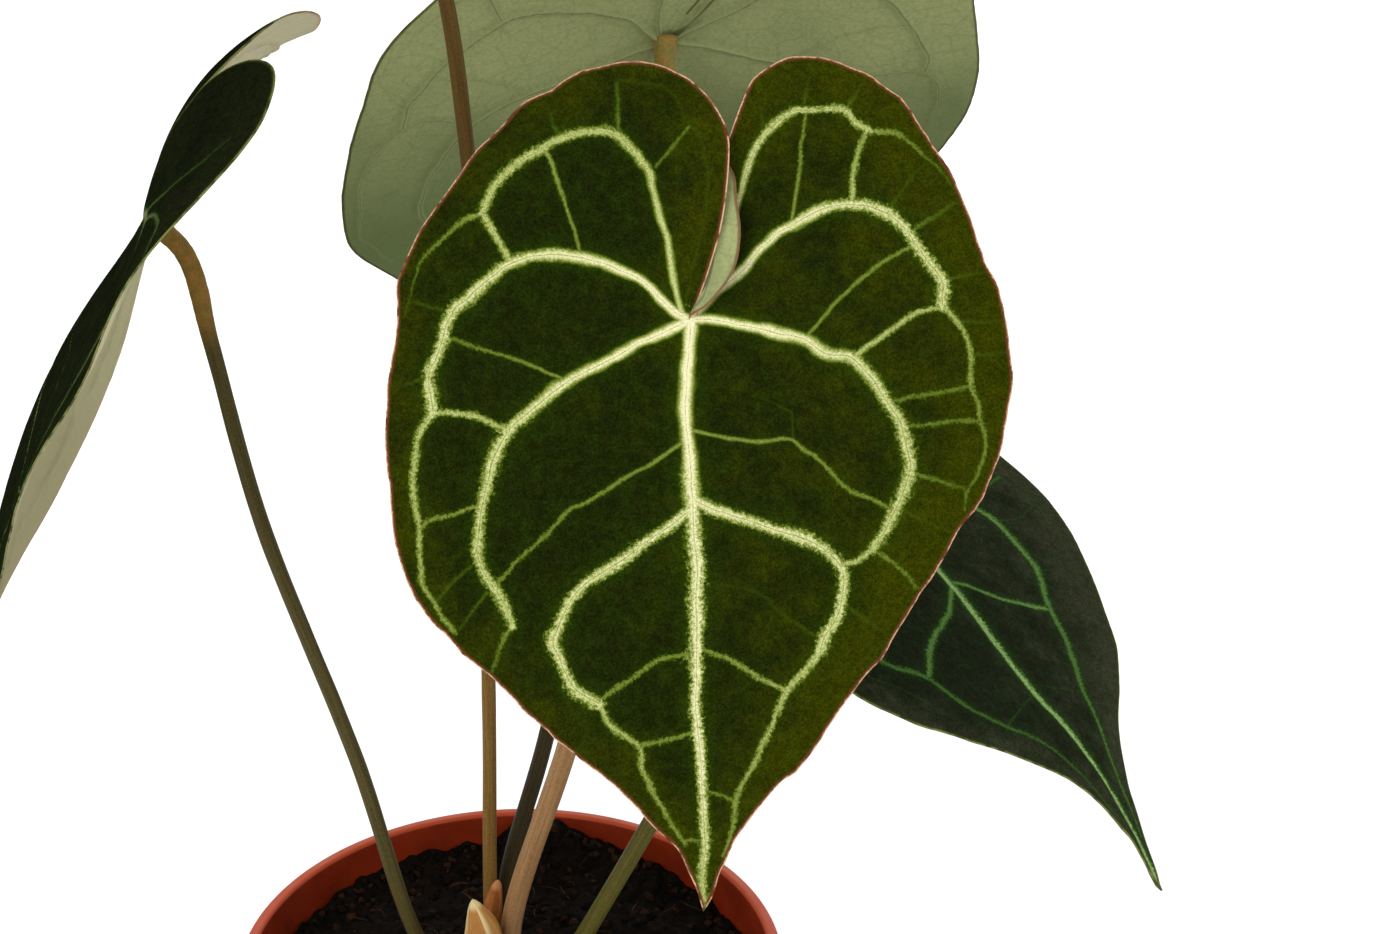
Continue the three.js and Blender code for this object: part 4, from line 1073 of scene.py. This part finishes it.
def make_stalk(leaf_name, seed, material):
    """A round stalk with faint ribs, a thicker foot and a swollen, wrinkled joint under the blade."""
    leaf = LEAVES[leaf_name]
    face = leaf_axes(leaf)[2]
    base = np.array(leaf["at"])
    path = stalk_curve(leaf["stalk"] + [base - STALK_SINK * face], STALK_ROWS)
    length = np.linalg.norm(np.diff(path, axis=0), axis=1).sum()
    from_foot = np.linspace(0, length, STALK_ROWS)
    from_top = length - from_foot
    to_joint = from_top * JOINT_LENGTH / leaf["joint"]
    swell = JOINT_SWELL * smoothstep(JOINT_LENGTH - to_joint, -4, 6)
    foot = FOOT_SWELL * np.exp(-from_foot / FOOT_LENGTH)
    flare = FLARE * np.exp(-from_top / FLARE_LENGTH)
    radius = leaf["stalk_radius"] * (1 + swell + foot + flare)
    joint = smoothstep(JOINT_LENGTH + 4 - to_joint, 0, 6)[:, None]
    turn = full_turn(STALK_SIDES)[None, :]
    around = (np.cos(turn) * 3, np.sin(turn) * 3)
    ribs, wrinkles = (value_noise(rows_of(*around, along[:, None]), 1, noise_seed).reshape(len(path), -1)
                      for along, noise_seed in ((from_foot / 9, seed), (from_foot * 1.4, seed + 9)))
    radius = radius[:, None] * (1 + RIB_DEPTH * ribs + WRINKLE_DEPTH * joint * wrinkles)
    points = tube(path, radius, STALK_SIDES)
    # The end is flat against the blade's underside
    above = (points - base) @ face + BLADE_THICKNESS / 2 + STALK_CLEARANCE
    above = np.where(from_top[:, None] < CUT_LENGTH, np.maximum(above, 0), 0)
    points = points - above[..., None] * face
    points = np.vstack([points.reshape(-1, 3), path[0], points[-1].mean(axis=0)])
    facts = rows_of(turn, from_foot[:, None], to_joint[:, None])
    piece = mesh_piece(f"stalk_{leaf_name}", points, capped(STALK_ROWS, STALK_SIDES), [material],
                       carried={"facts": np.vstack([facts, facts[0], facts[-1]])})
    stand_in(piece, f"petiole_{leaf_name}")


# Pot

pot_low, pot_high = (np.array(corner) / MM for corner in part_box("pot"))
RIM_RADIUS = (pot_high[0] - pot_low[0]) / 2
POT_HEIGHT = pot_high[2]
RIM_DEPTH = 14.0
RIM_WIDTH = 2.9
BASE_RADIUS = 43.0
WALL = 1.8
FOOT_LIFT = 2.0
FLOOR_TOP = 4.0
FOOT_RING = 8.0
PAD_RADIUS = 14.0
DRAIN_COUNT = 8
DRAIN_RADIUS = 4.0
DRAIN_CIRCLE = 24.5
DRAIN_SIDES = 40
POT_SIDES = 256
POT_EDGE = 0.9
SHARP_ANGLE = 40


def turned_rows(profile, sides):
    """Points of a turned solid, row by row along its profile."""
    turn = full_turn(sides)
    profile = np.asarray(profile, float)
    return np.stack([profile[:, :1] * np.cos(turn), profile[:, :1] * np.sin(turn),
                     np.repeat(profile[:, 1:2], sides, 1)], -1)


def rounded(corners, radius, steps=5):
    """A profile with its corners rounded off; the first and last points stay."""
    corners = np.asarray(corners, float)
    out = [corners[0]]
    for before, corner, after in zip(corners, corners[1:], corners[2:]):
        start, end = (corner + unit(other - corner) * min(radius, np.linalg.norm(other - corner) * 0.45)
                      for other in (before, after))
        for share in np.linspace(0, 1, steps):
            out.append((1 - share) ** 2 * start + 2 * share * (1 - share) * corner + share**2 * end)
    out.append(corners[-1])
    return np.array(out)


def inner_radius(z):
    """Radius of the pot's inner wall at a height."""
    share = (z - FOOT_LIFT) / (POT_HEIGHT - FOOT_LIFT)
    return (BASE_RADIUS - WALL) * (1 - share) + (RIM_RADIUS - RIM_WIDTH) * share


def drain_hole(number):
    """A cylinder that cuts one of the drain holes."""
    turn = 2 * math.pi * (number + 0.5) / DRAIN_COUNT
    place = (DRAIN_CIRCLE * math.cos(turn) * MM, DRAIN_CIRCLE * math.sin(turn) * MM, FLOOR_TOP / 2 * MM)
    bpy.ops.mesh.primitive_cylinder_add(
        vertices=DRAIN_SIDES, radius=DRAIN_RADIUS * MM, depth=3 * FLOOR_TOP * MM, location=place)
    return bpy.context.object


def make_pot():
    """The pot, turned from its profile and with its drain holes cut."""
    rim_foot = POT_HEIGHT - RIM_DEPTH
    profile = rounded([
        (0, 0), (PAD_RADIUS, 0), (PAD_RADIUS + 1, FOOT_LIFT), (BASE_RADIUS - FOOT_RING, FOOT_LIFT),
        (BASE_RADIUS - FOOT_RING + 1, 0), (BASE_RADIUS - 0.2, 0), (inner_radius(rim_foot) + WALL, rim_foot),
        (RIM_RADIUS - 0.8, rim_foot), (RIM_RADIUS, POT_HEIGHT - 0.2),
        (RIM_RADIUS - RIM_WIDTH + 0.2, POT_HEIGHT), (inner_radius(POT_HEIGHT - 4), POT_HEIGHT - 4),
        (inner_radius(FLOOR_TOP), FLOOR_TOP), (0, FLOOR_TOP),
    ], POT_EDGE)
    rows = turned_rows(profile[1:-1], POT_SIDES)
    points = np.vstack([rows.reshape(-1, 3), [0, 0, 0], [0, 0, FLOOR_TOP]])
    # Turned from the axis outwards and up, so the faces are reversed to look out
    faces = [group[:, ::-1] for group in capped(len(rows), POT_SIDES)]
    piece = mesh_piece("pot_body", points, faces, [])
    drills = [drain_hole(number) for number in range(DRAIN_COUNT)]
    for drill in drills:
        cut = piece.modifiers.new("drain", "BOOLEAN")
        cut.operation = "DIFFERENCE"
        cut.solver = "EXACT"
        cut.object = drill
    bpy.context.view_layer.update()
    evaluated = piece.evaluated_get(bpy.context.evaluated_depsgraph_get())
    mesh = bpy.data.meshes.new_from_object(evaluated)
    piece.modifiers.clear()
    piece.data = mesh
    for drill in drills:
        bpy.data.objects.remove(drill)
    mesh.materials.clear()
    mesh.materials.append(pot_material())
    places = np.empty(len(mesh.vertices) * 3, np.float32)
    mesh.vertices.foreach_get("co", places)
    x, y, height = places.reshape(-1, 3).T / MM
    # Where the inner wall is, which the material paints darker as shade
    inside = (np.hypot(x, y) < inner_radius(height) + WALL / 2) & (height > FLOOR_TOP - 0.5)
    inside = (inside & (height < POT_HEIGHT - 0.6)).astype(float)
    # The rim band, which the material paints lighter as lit
    rim = smoothstep(height, rim_foot - 0.5, rim_foot + 0.5) * (1 - inside)
    carry(mesh, "facts", np.column_stack([height, inside, rim]))
    mesh.polygons.foreach_set("use_smooth", np.full(len(mesh.polygons), True))
    mesh.set_sharp_from_angle(angle=math.radians(SHARP_ANGLE))
    stand_in(piece, "pot")


# Soil

CROWN_AT = (-3.5, 0.0)
CROWN_BASE = 70.0
CROWN_TOP = 99.0
CROWN_RADIUS = 10.5
CROWN_STRETCH = 1.22
ROOT_COUNT = 6
SOIL_TOP = 95.4
SOIL_GAP = 0.3
SOIL_RINGS, SOIL_SIDES = 140, 360
SOIL_RADIUS = inner_radius(SOIL_TOP)
# Heaps of peat at the back wall: height, place across and half width
HEAP = (5.6, 3.5, 8.5)
SIDE_HEAP = (3.6, 18, 11)
# How high the peat climbs the wall and over which width, and how high it stands round the crown
WALL_CLIMB, CLIMB_WIDTH = 3, 9
MOUND_HEIGHT = 2
CRUMB_COUNT = 2600
CRUMBS_BY_WALL = 600
SMALLEST_CRUMB = 0.3
# Crumbs with a radius below this have fewer faces
COARSE_CRUMB = 0.5
FIBRE_COUNT = 110
FIBRE_ROWS, FIBRE_SIDES = 8, 4


def soil_height(x, y):
    """Lumpy top of the peat, as the solids have it, with finer clods."""
    broad = np.sin(0.21 * x + 0.8) * np.sin(0.24 * y + 2.1)
    small = np.sin(0.63 * x + 0.37 * y + 0.5) * np.sin(0.58 * y - 0.31 * x + 1.7)
    radius = np.hypot(x, y)
    edge = radius / SOIL_RADIUS
    flat = np.column_stack([x, y, np.zeros(len(x))])
    height = SOIL_TOP + 1.1 * (0.7 * broad + 0.6 * small) - 0.9 * np.minimum(edge, 1) ** 4
    clods = noise_layers(flat, (0.75, 4.6, 3), (0.6, 2.1, 4), (0.4, 0.9, 5))
    ragged = noise_layers(flat, (0.3, 11, 6), (0.25, 3.3, 7), (0.15, 1.5, 8))
    climb = smoothstep(radius, SOIL_RADIUS - CLIMB_WIDTH, SOIL_RADIUS) * WALL_CLIMB
    climb *= np.maximum(ragged + 0.3 + 0.75 * smoothstep(y, 5, 50), 0)
    heap = sum(high * np.exp(-((x - at) / wide) ** power)
               for (high, at, wide), power in ((HEAP, 4), (SIDE_HEAP, 2)))
    heap *= smoothstep(radius, 43, 55) * smoothstep(y, 20, 40) * (1 + 0.3 * ragged)
    to_crown = np.hypot((x - CROWN_AT[0]) / CROWN_STRETCH, y)
    mound = MOUND_HEIGHT * (1 - smoothstep(to_crown, 8.5, 13.5))
    return np.minimum(height + clods + climb + heap + mound, POT_HEIGHT - 0.8)


def make_soil(material):
    """The bed of peat, from the pot's floor to its lumpy top."""
    share = (np.arange(1, SOIL_RINGS + 1) / SOIL_RINGS) ** 0.9
    turn = full_turn(SOIL_SIDES)
    reach = SOIL_RADIUS - SOIL_GAP
    x = (share[:, None] * reach * np.cos(turn)).ravel()
    y = (share[:, None] * reach * np.sin(turn)).ravel()
    z = soil_height(x, y)
    # Where the peat climbs the wall, it widens with it
    spread = 1 + np.repeat(share**6, SOIL_SIDES) * np.maximum(inner_radius(z) - SOIL_RADIUS, 0) / reach
    top = np.column_stack([x * spread, y * spread, z])
    below = [(inner_radius(SOIL_TOP - 6) - SOIL_GAP, SOIL_TOP - 6), (inner_radius(7) - SOIL_GAP, 7.3),
             (inner_radius(FLOOR_TOP) - 2.3, FLOOR_TOP + SOIL_GAP)]
    lower = turned_rows(below, SOIL_SIDES).reshape(-1, 3)
    centre = [0, 0, soil_height(np.zeros(1), np.zeros(1))[0]]
    points = np.vstack([top, lower, centre, [0, 0, FLOOR_TOP + SOIL_GAP]])
    faces = [group[:, ::-1] for group in capped(SOIL_RINGS + len(below), SOIL_SIDES)]
    stand_in(mesh_piece("soil_bed", points, faces, [material]), "soil")


def ball_of(fine):
    """Corners and faces of a ball of 20 triangles, or of 80 when fine."""
    golden = (1 + 5**0.5) / 2
    corners = []
    for a in (-1, 1):
        for b in (-golden, golden):
            corners += [(0, a, b), (a, b, 0), (b, 0, a)]
    corners = unit(corners)
    faces = []
    for i in range(12):
        for j in range(i + 1, 12):
            for k in range(j + 1, 12):
                sides = [corners[i] @ corners[j], corners[j] @ corners[k], corners[i] @ corners[k]]
                if min(sides) > 0.4:
                    facing = np.cross(corners[j] - corners[i], corners[k] - corners[i]) @ corners[i]
                    faces.append((i, j, k) if facing > 0 else (i, k, j))
    if not fine:
        return corners, np.array(faces)
    points = list(corners)
    middles = {}

    def middle(i, j):
        key = (min(i, j), max(i, j))
        if key not in middles:
            middles[key] = len(points)
            points.append(unit(points[i] + points[j]))
        return middles[key]

    quarters = []
    for i, j, k in faces:
        a, b, c = middle(i, j), middle(j, k), middle(k, i)
        quarters += [(i, a, c), (a, j, b), (c, b, k), (a, b, c)]
    return np.array(points), np.array(quarters)


def random_turns(draw, count):
    """Random rotation matrices."""
    w, x, y, z = unit(draw.normal(size=(count, 4))).T
    return np.stack([
        np.stack([1 - 2 * (y * y + z * z), 2 * (x * y - z * w), 2 * (x * z + y * w)], -1),
        np.stack([2 * (x * y + z * w), 1 - 2 * (x * x + z * z), 2 * (y * z - x * w)], -1),
        np.stack([2 * (x * z - y * w), 2 * (y * z + x * w), 1 - 2 * (x * x + y * y)], -1)], -2)


def make_crumbs(draw, material):
    """Loose crumbs of peat and bark on the bed."""
    reach = (SOIL_RADIUS - 2.5) * np.sqrt(draw.random(CRUMB_COUNT))
    reach[:CRUMBS_BY_WALL] = SOIL_RADIUS - 1.6 - 1.8 * draw.random(CRUMBS_BY_WALL)
    turn = 2 * np.pi * draw.random(CRUMB_COUNT)
    size = SMALLEST_CRUMB + draw.random(CRUMB_COUNT) ** 4
    size[:CRUMBS_BY_WALL] = SMALLEST_CRUMB + 0.7 * draw.random(CRUMBS_BY_WALL)
    x, y = reach * np.cos(turn), reach * np.sin(turn)
    centre = np.column_stack([x, y, soil_height(x, y) + size * 0.25])
    shape = np.stack([draw.uniform(*ends, CRUMB_COUNT) for ends in ((0.6, 1.5), (0.6, 1.2), (0.4, 0.9))], -1)
    turns = random_turns(draw, CRUMB_COUNT)
    darkness = draw.random(CRUMB_COUNT) ** 2.5
    parts, tones = [], []
    for fine in (False, True):
        ball, ball_faces = ball_of(fine)
        chosen = (size >= COARSE_CRUMB) == fine
        number = chosen.sum()
        bumps = 1 + draw.uniform(-0.22, 0.22, (number, len(ball)))
        local = ball[None] * bumps[..., None] * (shape * size[:, None])[chosen][:, None, :]
        placed = centre[chosen][:, None] + np.einsum("nij,nkj->nki", turns[chosen], local)
        faces = (np.arange(number) * len(ball))[:, None, None] + ball_faces[None]
        parts.append((placed.reshape(-1, 3), [faces.reshape(-1, 3)]))
        tones.append(np.repeat(darkness[chosen], len(ball)))
    piece = mesh_piece("soil_crumbs", *joined(parts), [material], carried={"tone": np.concatenate(tones)},
                       smooth=False)
    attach(piece, "root")


def make_fibres(draw, material):
    """Peat fibres and root hairs that lie on the bed."""
    steps = np.linspace(-0.5, 0.5, FIBRE_ROWS)
    parts, tones = [], []
    for _ in range(FIBRE_COUNT):
        reach = (SOIL_RADIUS - 4) * math.sqrt(draw.random())
        turn = 2 * math.pi * draw.random()
        heading = 2 * math.pi * draw.random()
        length = draw.uniform(2.5, 9)
        bend = draw.uniform(-1.2, 1.2)
        x = reach * math.cos(turn) + length * steps * np.cos(heading + bend * steps)
        y = reach * math.sin(turn) + length * steps * np.sin(heading + bend * steps)
        inside = np.minimum(1, (SOIL_RADIUS - 1.5) / np.hypot(x, y))
        x, y = x * inside, y * inside
        z = np.full(FIBRE_ROWS, soil_height(x, y).mean()) + 0.35 + 0.9 * draw.random() * np.cos(steps * 3)
        radius = draw.uniform(0.06, 0.15) * (1 - 0.6 * np.abs(steps * 2) ** 2)
        parts.append(closed_tube(np.column_stack([x, y, z]), radius, FIBRE_SIDES))
        tones.append(np.full(len(parts[-1][0]), draw.random()))
    piece = mesh_piece("soil_fibres", *joined(parts), [material], carried={"tone": np.concatenate(tones)})
    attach(piece, "root")


# Crown, roots and bud sheaths

CROWN_ROWS, CROWN_SIDES = 70, 120
ROOT_ROWS, ROOT_SIDES = 60, 12
ROOT_REACH = 27.0
ROOT_RADII = (2.0, 1.1)
# Of every two roots, one reaches only this share as far
SHORT_ROOT = 0.75
SHEATH_ROWS, SHEATH_SIDES, HAIR_ROWS = 90, 64, 12
# The fact by which the shader knows the hair of a sheath, and the hair's radius at its foot and tip
HAIR_MARK = 3.0
HAIR_RADII = (0.3, 0.05)
# Shares of a sheath's radius: the laps of its folds, its ribs and its uneven surface
LAP_HEIGHT, RIB_HEIGHT, UNEVEN_HEIGHT = 0.13, 0.03, 0.04
SHEATHS = {
    "tan": dict(way=[(-5.4, -7.6, STALK_FOOT), (-4.9, -8.9, 108), (-4.9, -10.4, 119.5), (-6.9, -11, 128.4)],
                hair=(-9.0, -11.0, 130.4), radius=5.2, taper=3.6, point=0.75, folds=(2.35, 0.45)),
    "brown": dict(way=[(-5.2, -1, STALK_FOOT), (-4.6, -1.2, 111), (-3.4, -1.25, 119.5), (-2.1, -1.3, 126.5)],
                  hair=None, radius=2.3, taper=6.0, point=0.5, folds=(2.6, 9.0)),
}


def make_root(number):
    """Points and faces of one thick root, which runs outwards and down from the crown."""
    turn = 2 * math.pi * (number + 0.3) / ROOT_COUNT
    reach = ROOT_REACH * (SHORT_ROOT if number % 2 else 1)
    places = ((0.15, 0, 78), (0.5, 0.1, 70), (0.85, 0.3, 50), (1, 0.2, 18 + 9 * (number % 3)))
    way = [(CROWN_AT[0] + math.cos(turn + lean) * reach * share,
            CROWN_AT[1] + math.sin(turn + lean) * reach * share, z) for share, lean, z in places]
    path = stalk_curve(way, ROOT_ROWS)
    radius = np.linspace(*ROOT_RADII, ROOT_ROWS) * (1 + 0.06 * value_noise(path[:, [2, 0, 1]], 2, number))
    return closed_tube(path, radius, ROOT_SIDES)


def make_crown(material):
    """The short scarred stem and its thick roots, which the peat hides."""
    height = CROWN_TOP - CROWN_BASE
    outline = [
        (1.5, CROWN_BASE), (CROWN_RADIUS * 0.5, CROWN_BASE + 0.5),
        (CROWN_RADIUS * 0.8, CROWN_BASE + 0.2 * height), (CROWN_RADIUS, CROWN_BASE + 0.55 * height),
        (CROWN_RADIUS * 0.98, CROWN_BASE + 0.85 * height), (CROWN_RADIUS * 0.8, CROWN_TOP - 0.4),
        (1.0, CROWN_TOP),
    ]
    stem = turned_rows(smooth_curve(outline, CROWN_ROWS), CROWN_SIDES).reshape(-1, 3) * [CROWN_STRETCH, 1, 1]
    rough = 0.5 * value_noise(stem * [1, 1, 1.6], 2.6, 11) + 0.25 * value_noise(stem, 1.1, 12)
    stem = stem + unit(stem - [0, 0, CROWN_BASE + height * 0.5]) * (rough - 0.5)[:, None]
    stem[:, 0] += CROWN_AT[0]
    stem = np.vstack([stem, [CROWN_AT[0], 0, CROWN_BASE], [CROWN_AT[0], 0, CROWN_TOP - 0.3]])
    parts = [(stem, capped(CROWN_ROWS, CROWN_SIDES))] + [make_root(number) for number in range(ROOT_COUNT)]
    points, faces = joined(parts)
    around = np.arctan2(points[:, 1], points[:, 0] - CROWN_AT[0])
    # The fibres run round the stem, as the scars of leaves do
    facts = np.column_stack([points[:, 2], around * 8, np.zeros(len(points))])
    piece = mesh_piece("crown_stem", points, faces, [material], carried={"facts": facts})
    stand_in(piece, "crown")


def make_sheath(name, material):
    """A rolled papery sheath that wraps a bud, its edges lapped over, one with a hair at its tip."""
    sheath = SHEATHS[name]
    path = stalk_curve(sheath["way"], SHEATH_ROWS)
    share = np.linspace(0, 1, SHEATH_ROWS)
    radius = sheath["radius"] * np.maximum(1 - share ** sheath["taper"], 0) ** sheath["point"]
    if sheath["hair"]:
        steps = np.linspace(0, 1, HAIR_ROWS + 1)[1:, None]
        path = np.vstack([path, path[-1] + steps * (np.array(sheath["hair"]) - path[-1])])
        share = np.r_[share, np.ones(HAIR_ROWS)]
        radius = np.r_[radius, np.linspace(*HAIR_RADII, HAIR_ROWS)]
    radius = np.maximum(radius, 0.12 if sheath["hair"] else 0.3)[:, None]
    share = share[:, None]
    turn = full_turn(SHEATH_SIDES)[None, :]
    lap, edge = 0.0, 0.0
    for fold in sheath["folds"]:
        behind = (turn - fold + 0.5 * share) % (2 * np.pi)
        lap = lap + LAP_HEIGHT * np.exp(-behind / 0.45) * (1 - share**4)
        # Pale lap edges, partly a painted highlight
        edge = np.maximum(edge, 0.85 * np.exp(-((behind - 0.1) / 0.4) ** 2) * smoothstep(share, 0.5, 0.95))
    ribs = RIB_HEIGHT * np.sin(9 * turn + 1.5 * share)
    flat = rows_of(np.cos(turn) * 2, np.sin(turn) * 2, share * 8)
    uneven = UNEVEN_HEIGHT * value_noise(flat, 1, 21).reshape(len(path), -1)
    points, faces = closed_tube(path, radius * (0.94 + lap + ribs + uneven), SHEATH_SIDES)
    # The pale tip, partly a painted highlight
    edge = np.maximum(edge, smoothstep(share, 0.9, 0.99))
    edge[SHEATH_ROWS:] = HAIR_MARK
    facts = rows_of(turn * 2, share * 30, edge)
    piece = mesh_piece(f"bud_sheath_{name}", points, faces, [material],
                       carried={"facts": np.vstack([facts, facts[0], facts[-1]])})
    stand_in(piece, f"sheath_{name}")


# Build the plant

# Five tones of a vein from its faint edge to its bright middle, and a rim's dark tone and its light tone, a
# painted glint
CREAM_VEINS = ((36, 50, 4), (58, 76, 12), (102, 114, 44), (158, 166, 100), (214, 208, 168))
# Painted shade: the green and olive nets are the cream one dimmed for leaves that stand in shade
GREEN_VEINS = ((26, 44, 14), (40, 68, 25), (70, 100, 46), (110, 138, 80), (152, 172, 116))
OLIVE_VEINS = ((20, 34, 9), (32, 50, 18), (62, 72, 40), (100, 104, 70), (136, 134, 100))
RED_RIM = ((88, 50, 28), (196, 158, 124))
# Painted shade: the green rim is the red one dimmed for leaves that stand in shade
GREEN_RIM = ((50, 56, 22), (104, 110, 58))
# The pale tone of an underside, painted where it stands high in the light, the green lower down, and its
# lines
GREEN_UNDER = ((146, 152, 103), (91, 103, 64), (78, 90, 54))
PALE_UNDER = ((184, 178, 146), (160, 156, 120), (140, 138, 104))

# The green and dark upper faces are the cream-veined one darkened as painted shade, for the right and left
# leaves
UPPERS = {
    "cream": blade_upper("blade_cream_veins", (22, 28, 5), (44, 48, 2), (34, 54, 4), CREAM_VEINS, RED_RIM,
                         gain=1.0, soft=1.0, sheen=0.006),
    "green": blade_upper("blade_shaded_green_veins", (24, 28, 17), (46, 48, 34), (24, 48, 18), GREEN_VEINS,
                         GREEN_RIM, gain=0.95, soft=0.42, sheen=0.01),
    "dark": blade_upper("blade_shaded_dark", (16, 19, 9), (24, 27, 13), (18, 30, 9), OLIVE_VEINS, GREEN_RIM,
                        gain=0.8, soft=0.6, sheen=0.0),
}
UNDERS = {
    "green": blade_under("blade_under_green", *GREEN_UNDER, (66, 62, 34), contrast=0.6),
    "flap": blade_under("blade_under_red_rim", *GREEN_UNDER, (104, 62, 40), contrast=0.6),
    "pale": blade_under("blade_under_pale", *PALE_UNDER, (170, 126, 100), contrast=0.3),
}
RIMS = {
    "red": blade_rim("margin_red", *RED_RIM),
    "green": blade_rim("margin_green", *GREEN_RIM),
}

# Points along each side of the margin, rings from the stalk to it, and the materials
BLADES = {
    "front": (260, 88, "cream", "flap", "red"),
    "rear": (180, 66, "cream", "green", "green"),
    "left": (180, 66, "dark", "pale", "green"),
    "right": (200, 72, "green", "green", "green"),
    "top": (170, 60, "cream", "flap", "red"),
}
for number, (leaf_name, (side_count, ring_count, upper, under, rim)) in enumerate(BLADES.items()):
    make_blade(leaf_name, side_count, ring_count, number + 1, [UPPERS[upper], UNDERS[under], RIMS[rim]])

# A stalk's material and slot, its dark and light tone, and the brown and green of its joint
STALK_LOOKS = {
    "front": ("stalk_pink_brown", "stalk_pink_brown",
              (102, 75, 43), (140, 107, 72), (134, 96, 48), (108, 106, 50)),
    "rear": ("stalk_dark", "stalk_brown", (30, 25, 13), (54, 46, 26), (140, 113, 58), (116, 116, 58)),
    "left": ("stalk_olive", "stalk_brown", (48, 41, 17), (77, 69, 36), (132, 99, 44), (114, 92, 40)),
    "right": ("stalk_green", "stalk_green", (54, 50, 16), (86, 80, 36), (118, 94, 42), (92, 98, 40)),
    "top": ("stalk_brown", "stalk_brown", (78, 54, 20), (116, 88, 42), (126, 88, 36), (94, 92, 40), 0.4),
}
for number, (leaf_name, (name, slot, *tones)) in enumerate(STALK_LOOKS.items()):
    make_stalk(leaf_name, number + 1, stalk_material(name, *tones))

make_pot()
make_soil(soil_material("peat", (8, 6, 4), (20, 14, 9), (58, 34, 18)))
draw = np.random.default_rng(7)
make_crumbs(draw, scattered_material("peat_crumbs", (9, 7, 5), (46, 27, 14), 0.5))
make_fibres(draw, scattered_material("peat_fibres", (20, 13, 8), (84, 50, 26), 0.6))
make_crown(husk_material("crown_bark", (74, 56, 34), (128, 100, 64), (60, 42, 24), (96, 66, 36)))
# A sheath's dark and light tone, its pale folds, partly a painted highlight, and its patches
SHEATH_TONES = {
    "tan": ((150, 102, 48), (182, 136, 70), (208, 186, 136), (160, 104, 58)),
    "brown": ((136, 80, 36), (160, 98, 46), (180, 118, 72), (116, 64, 30)),
}
for name, tones in SHEATH_TONES.items():
    make_sheath(name, husk_material(f"sheath_{name}", *tones))


# Stage, light and camera, whose places and sizes are metres

FLOOR_RADIUS = 6
FLOOR_SIDES = 96
AIM = (0, 0, 0.25)
LAMPS = {
    "key": dict(at=(-0.7, -0.9, 1.15), size=(0.9, 0.9), power=13),
    "fill": dict(at=(1.1, -0.6, 0.8), size=(0.9, 0.9), power=5),
    "behind": dict(at=(0.2, 1.3, 1.0), size=(1.6, 1.0), power=10),
}
SKY_STRENGTH = 0.85


def make_stage():
    """A plain pale floor."""
    s = Shader("stage_floor")
    s.colour = s.mix(s.patches(0.3, 0.7, 180), (0.9, 0.9, 0.9, 1), (0.92, 0.92, 0.92, 1))
    material = s.finish(0.9, Specular_IOR_Level=0.1)
    bpy.ops.mesh.primitive_circle_add(vertices=FLOOR_SIDES, radius=FLOOR_RADIUS, fill_type="NGON")
    floor = bpy.context.object
    floor.name = "floor"
    floor.data.materials.append(material)


def add_lamp(name, at, size, power):
    """A soft white lamp that looks at the middle of the plant."""
    light = bpy.data.lights.new(name, "AREA")
    light.shape = "RECTANGLE"
    light.size, light.size_y = size
    light.energy = power
    lamp = bpy.data.objects.new(name, light)
    lamp.location = at
    direction = mathutils.Vector(np.array(AIM) - np.array(at))
    lamp.rotation_euler = direction.to_track_quat("-Z", "Y").to_euler()
    bpy.context.scene.collection.objects.link(lamp)


make_stage()
for name, lamp in LAMPS.items():
    add_lamp(name, **lamp)
world = bpy.data.worlds.new("studio")
world.use_nodes = True
world.node_tree.nodes["Background"].inputs["Color"].default_value = (1, 1, 1, 1)
world.node_tree.nodes["Background"].inputs["Strength"].default_value = SKY_STRENGTH
bpy.context.scene.world = world
bpy.context.scene.view_settings.view_transform = "Standard"
bpy.context.scene.view_settings.look = "None"

camera_data = bpy.data.cameras.new("camera")
camera_data.sensor_fit = "HORIZONTAL"
camera_data.sensor_width = SENSOR_WIDTH
camera_data.lens = CAMERA_LENS
camera = bpy.data.objects.new("camera", camera_data)
camera.location = [c * MM for c in CAMERA_AT]
camera.rotation_euler = (math.radians(90 - CAMERA_PITCH), 0, 0)
bpy.context.scene.collection.objects.link(camera)
bpy.context.scene.camera = camera
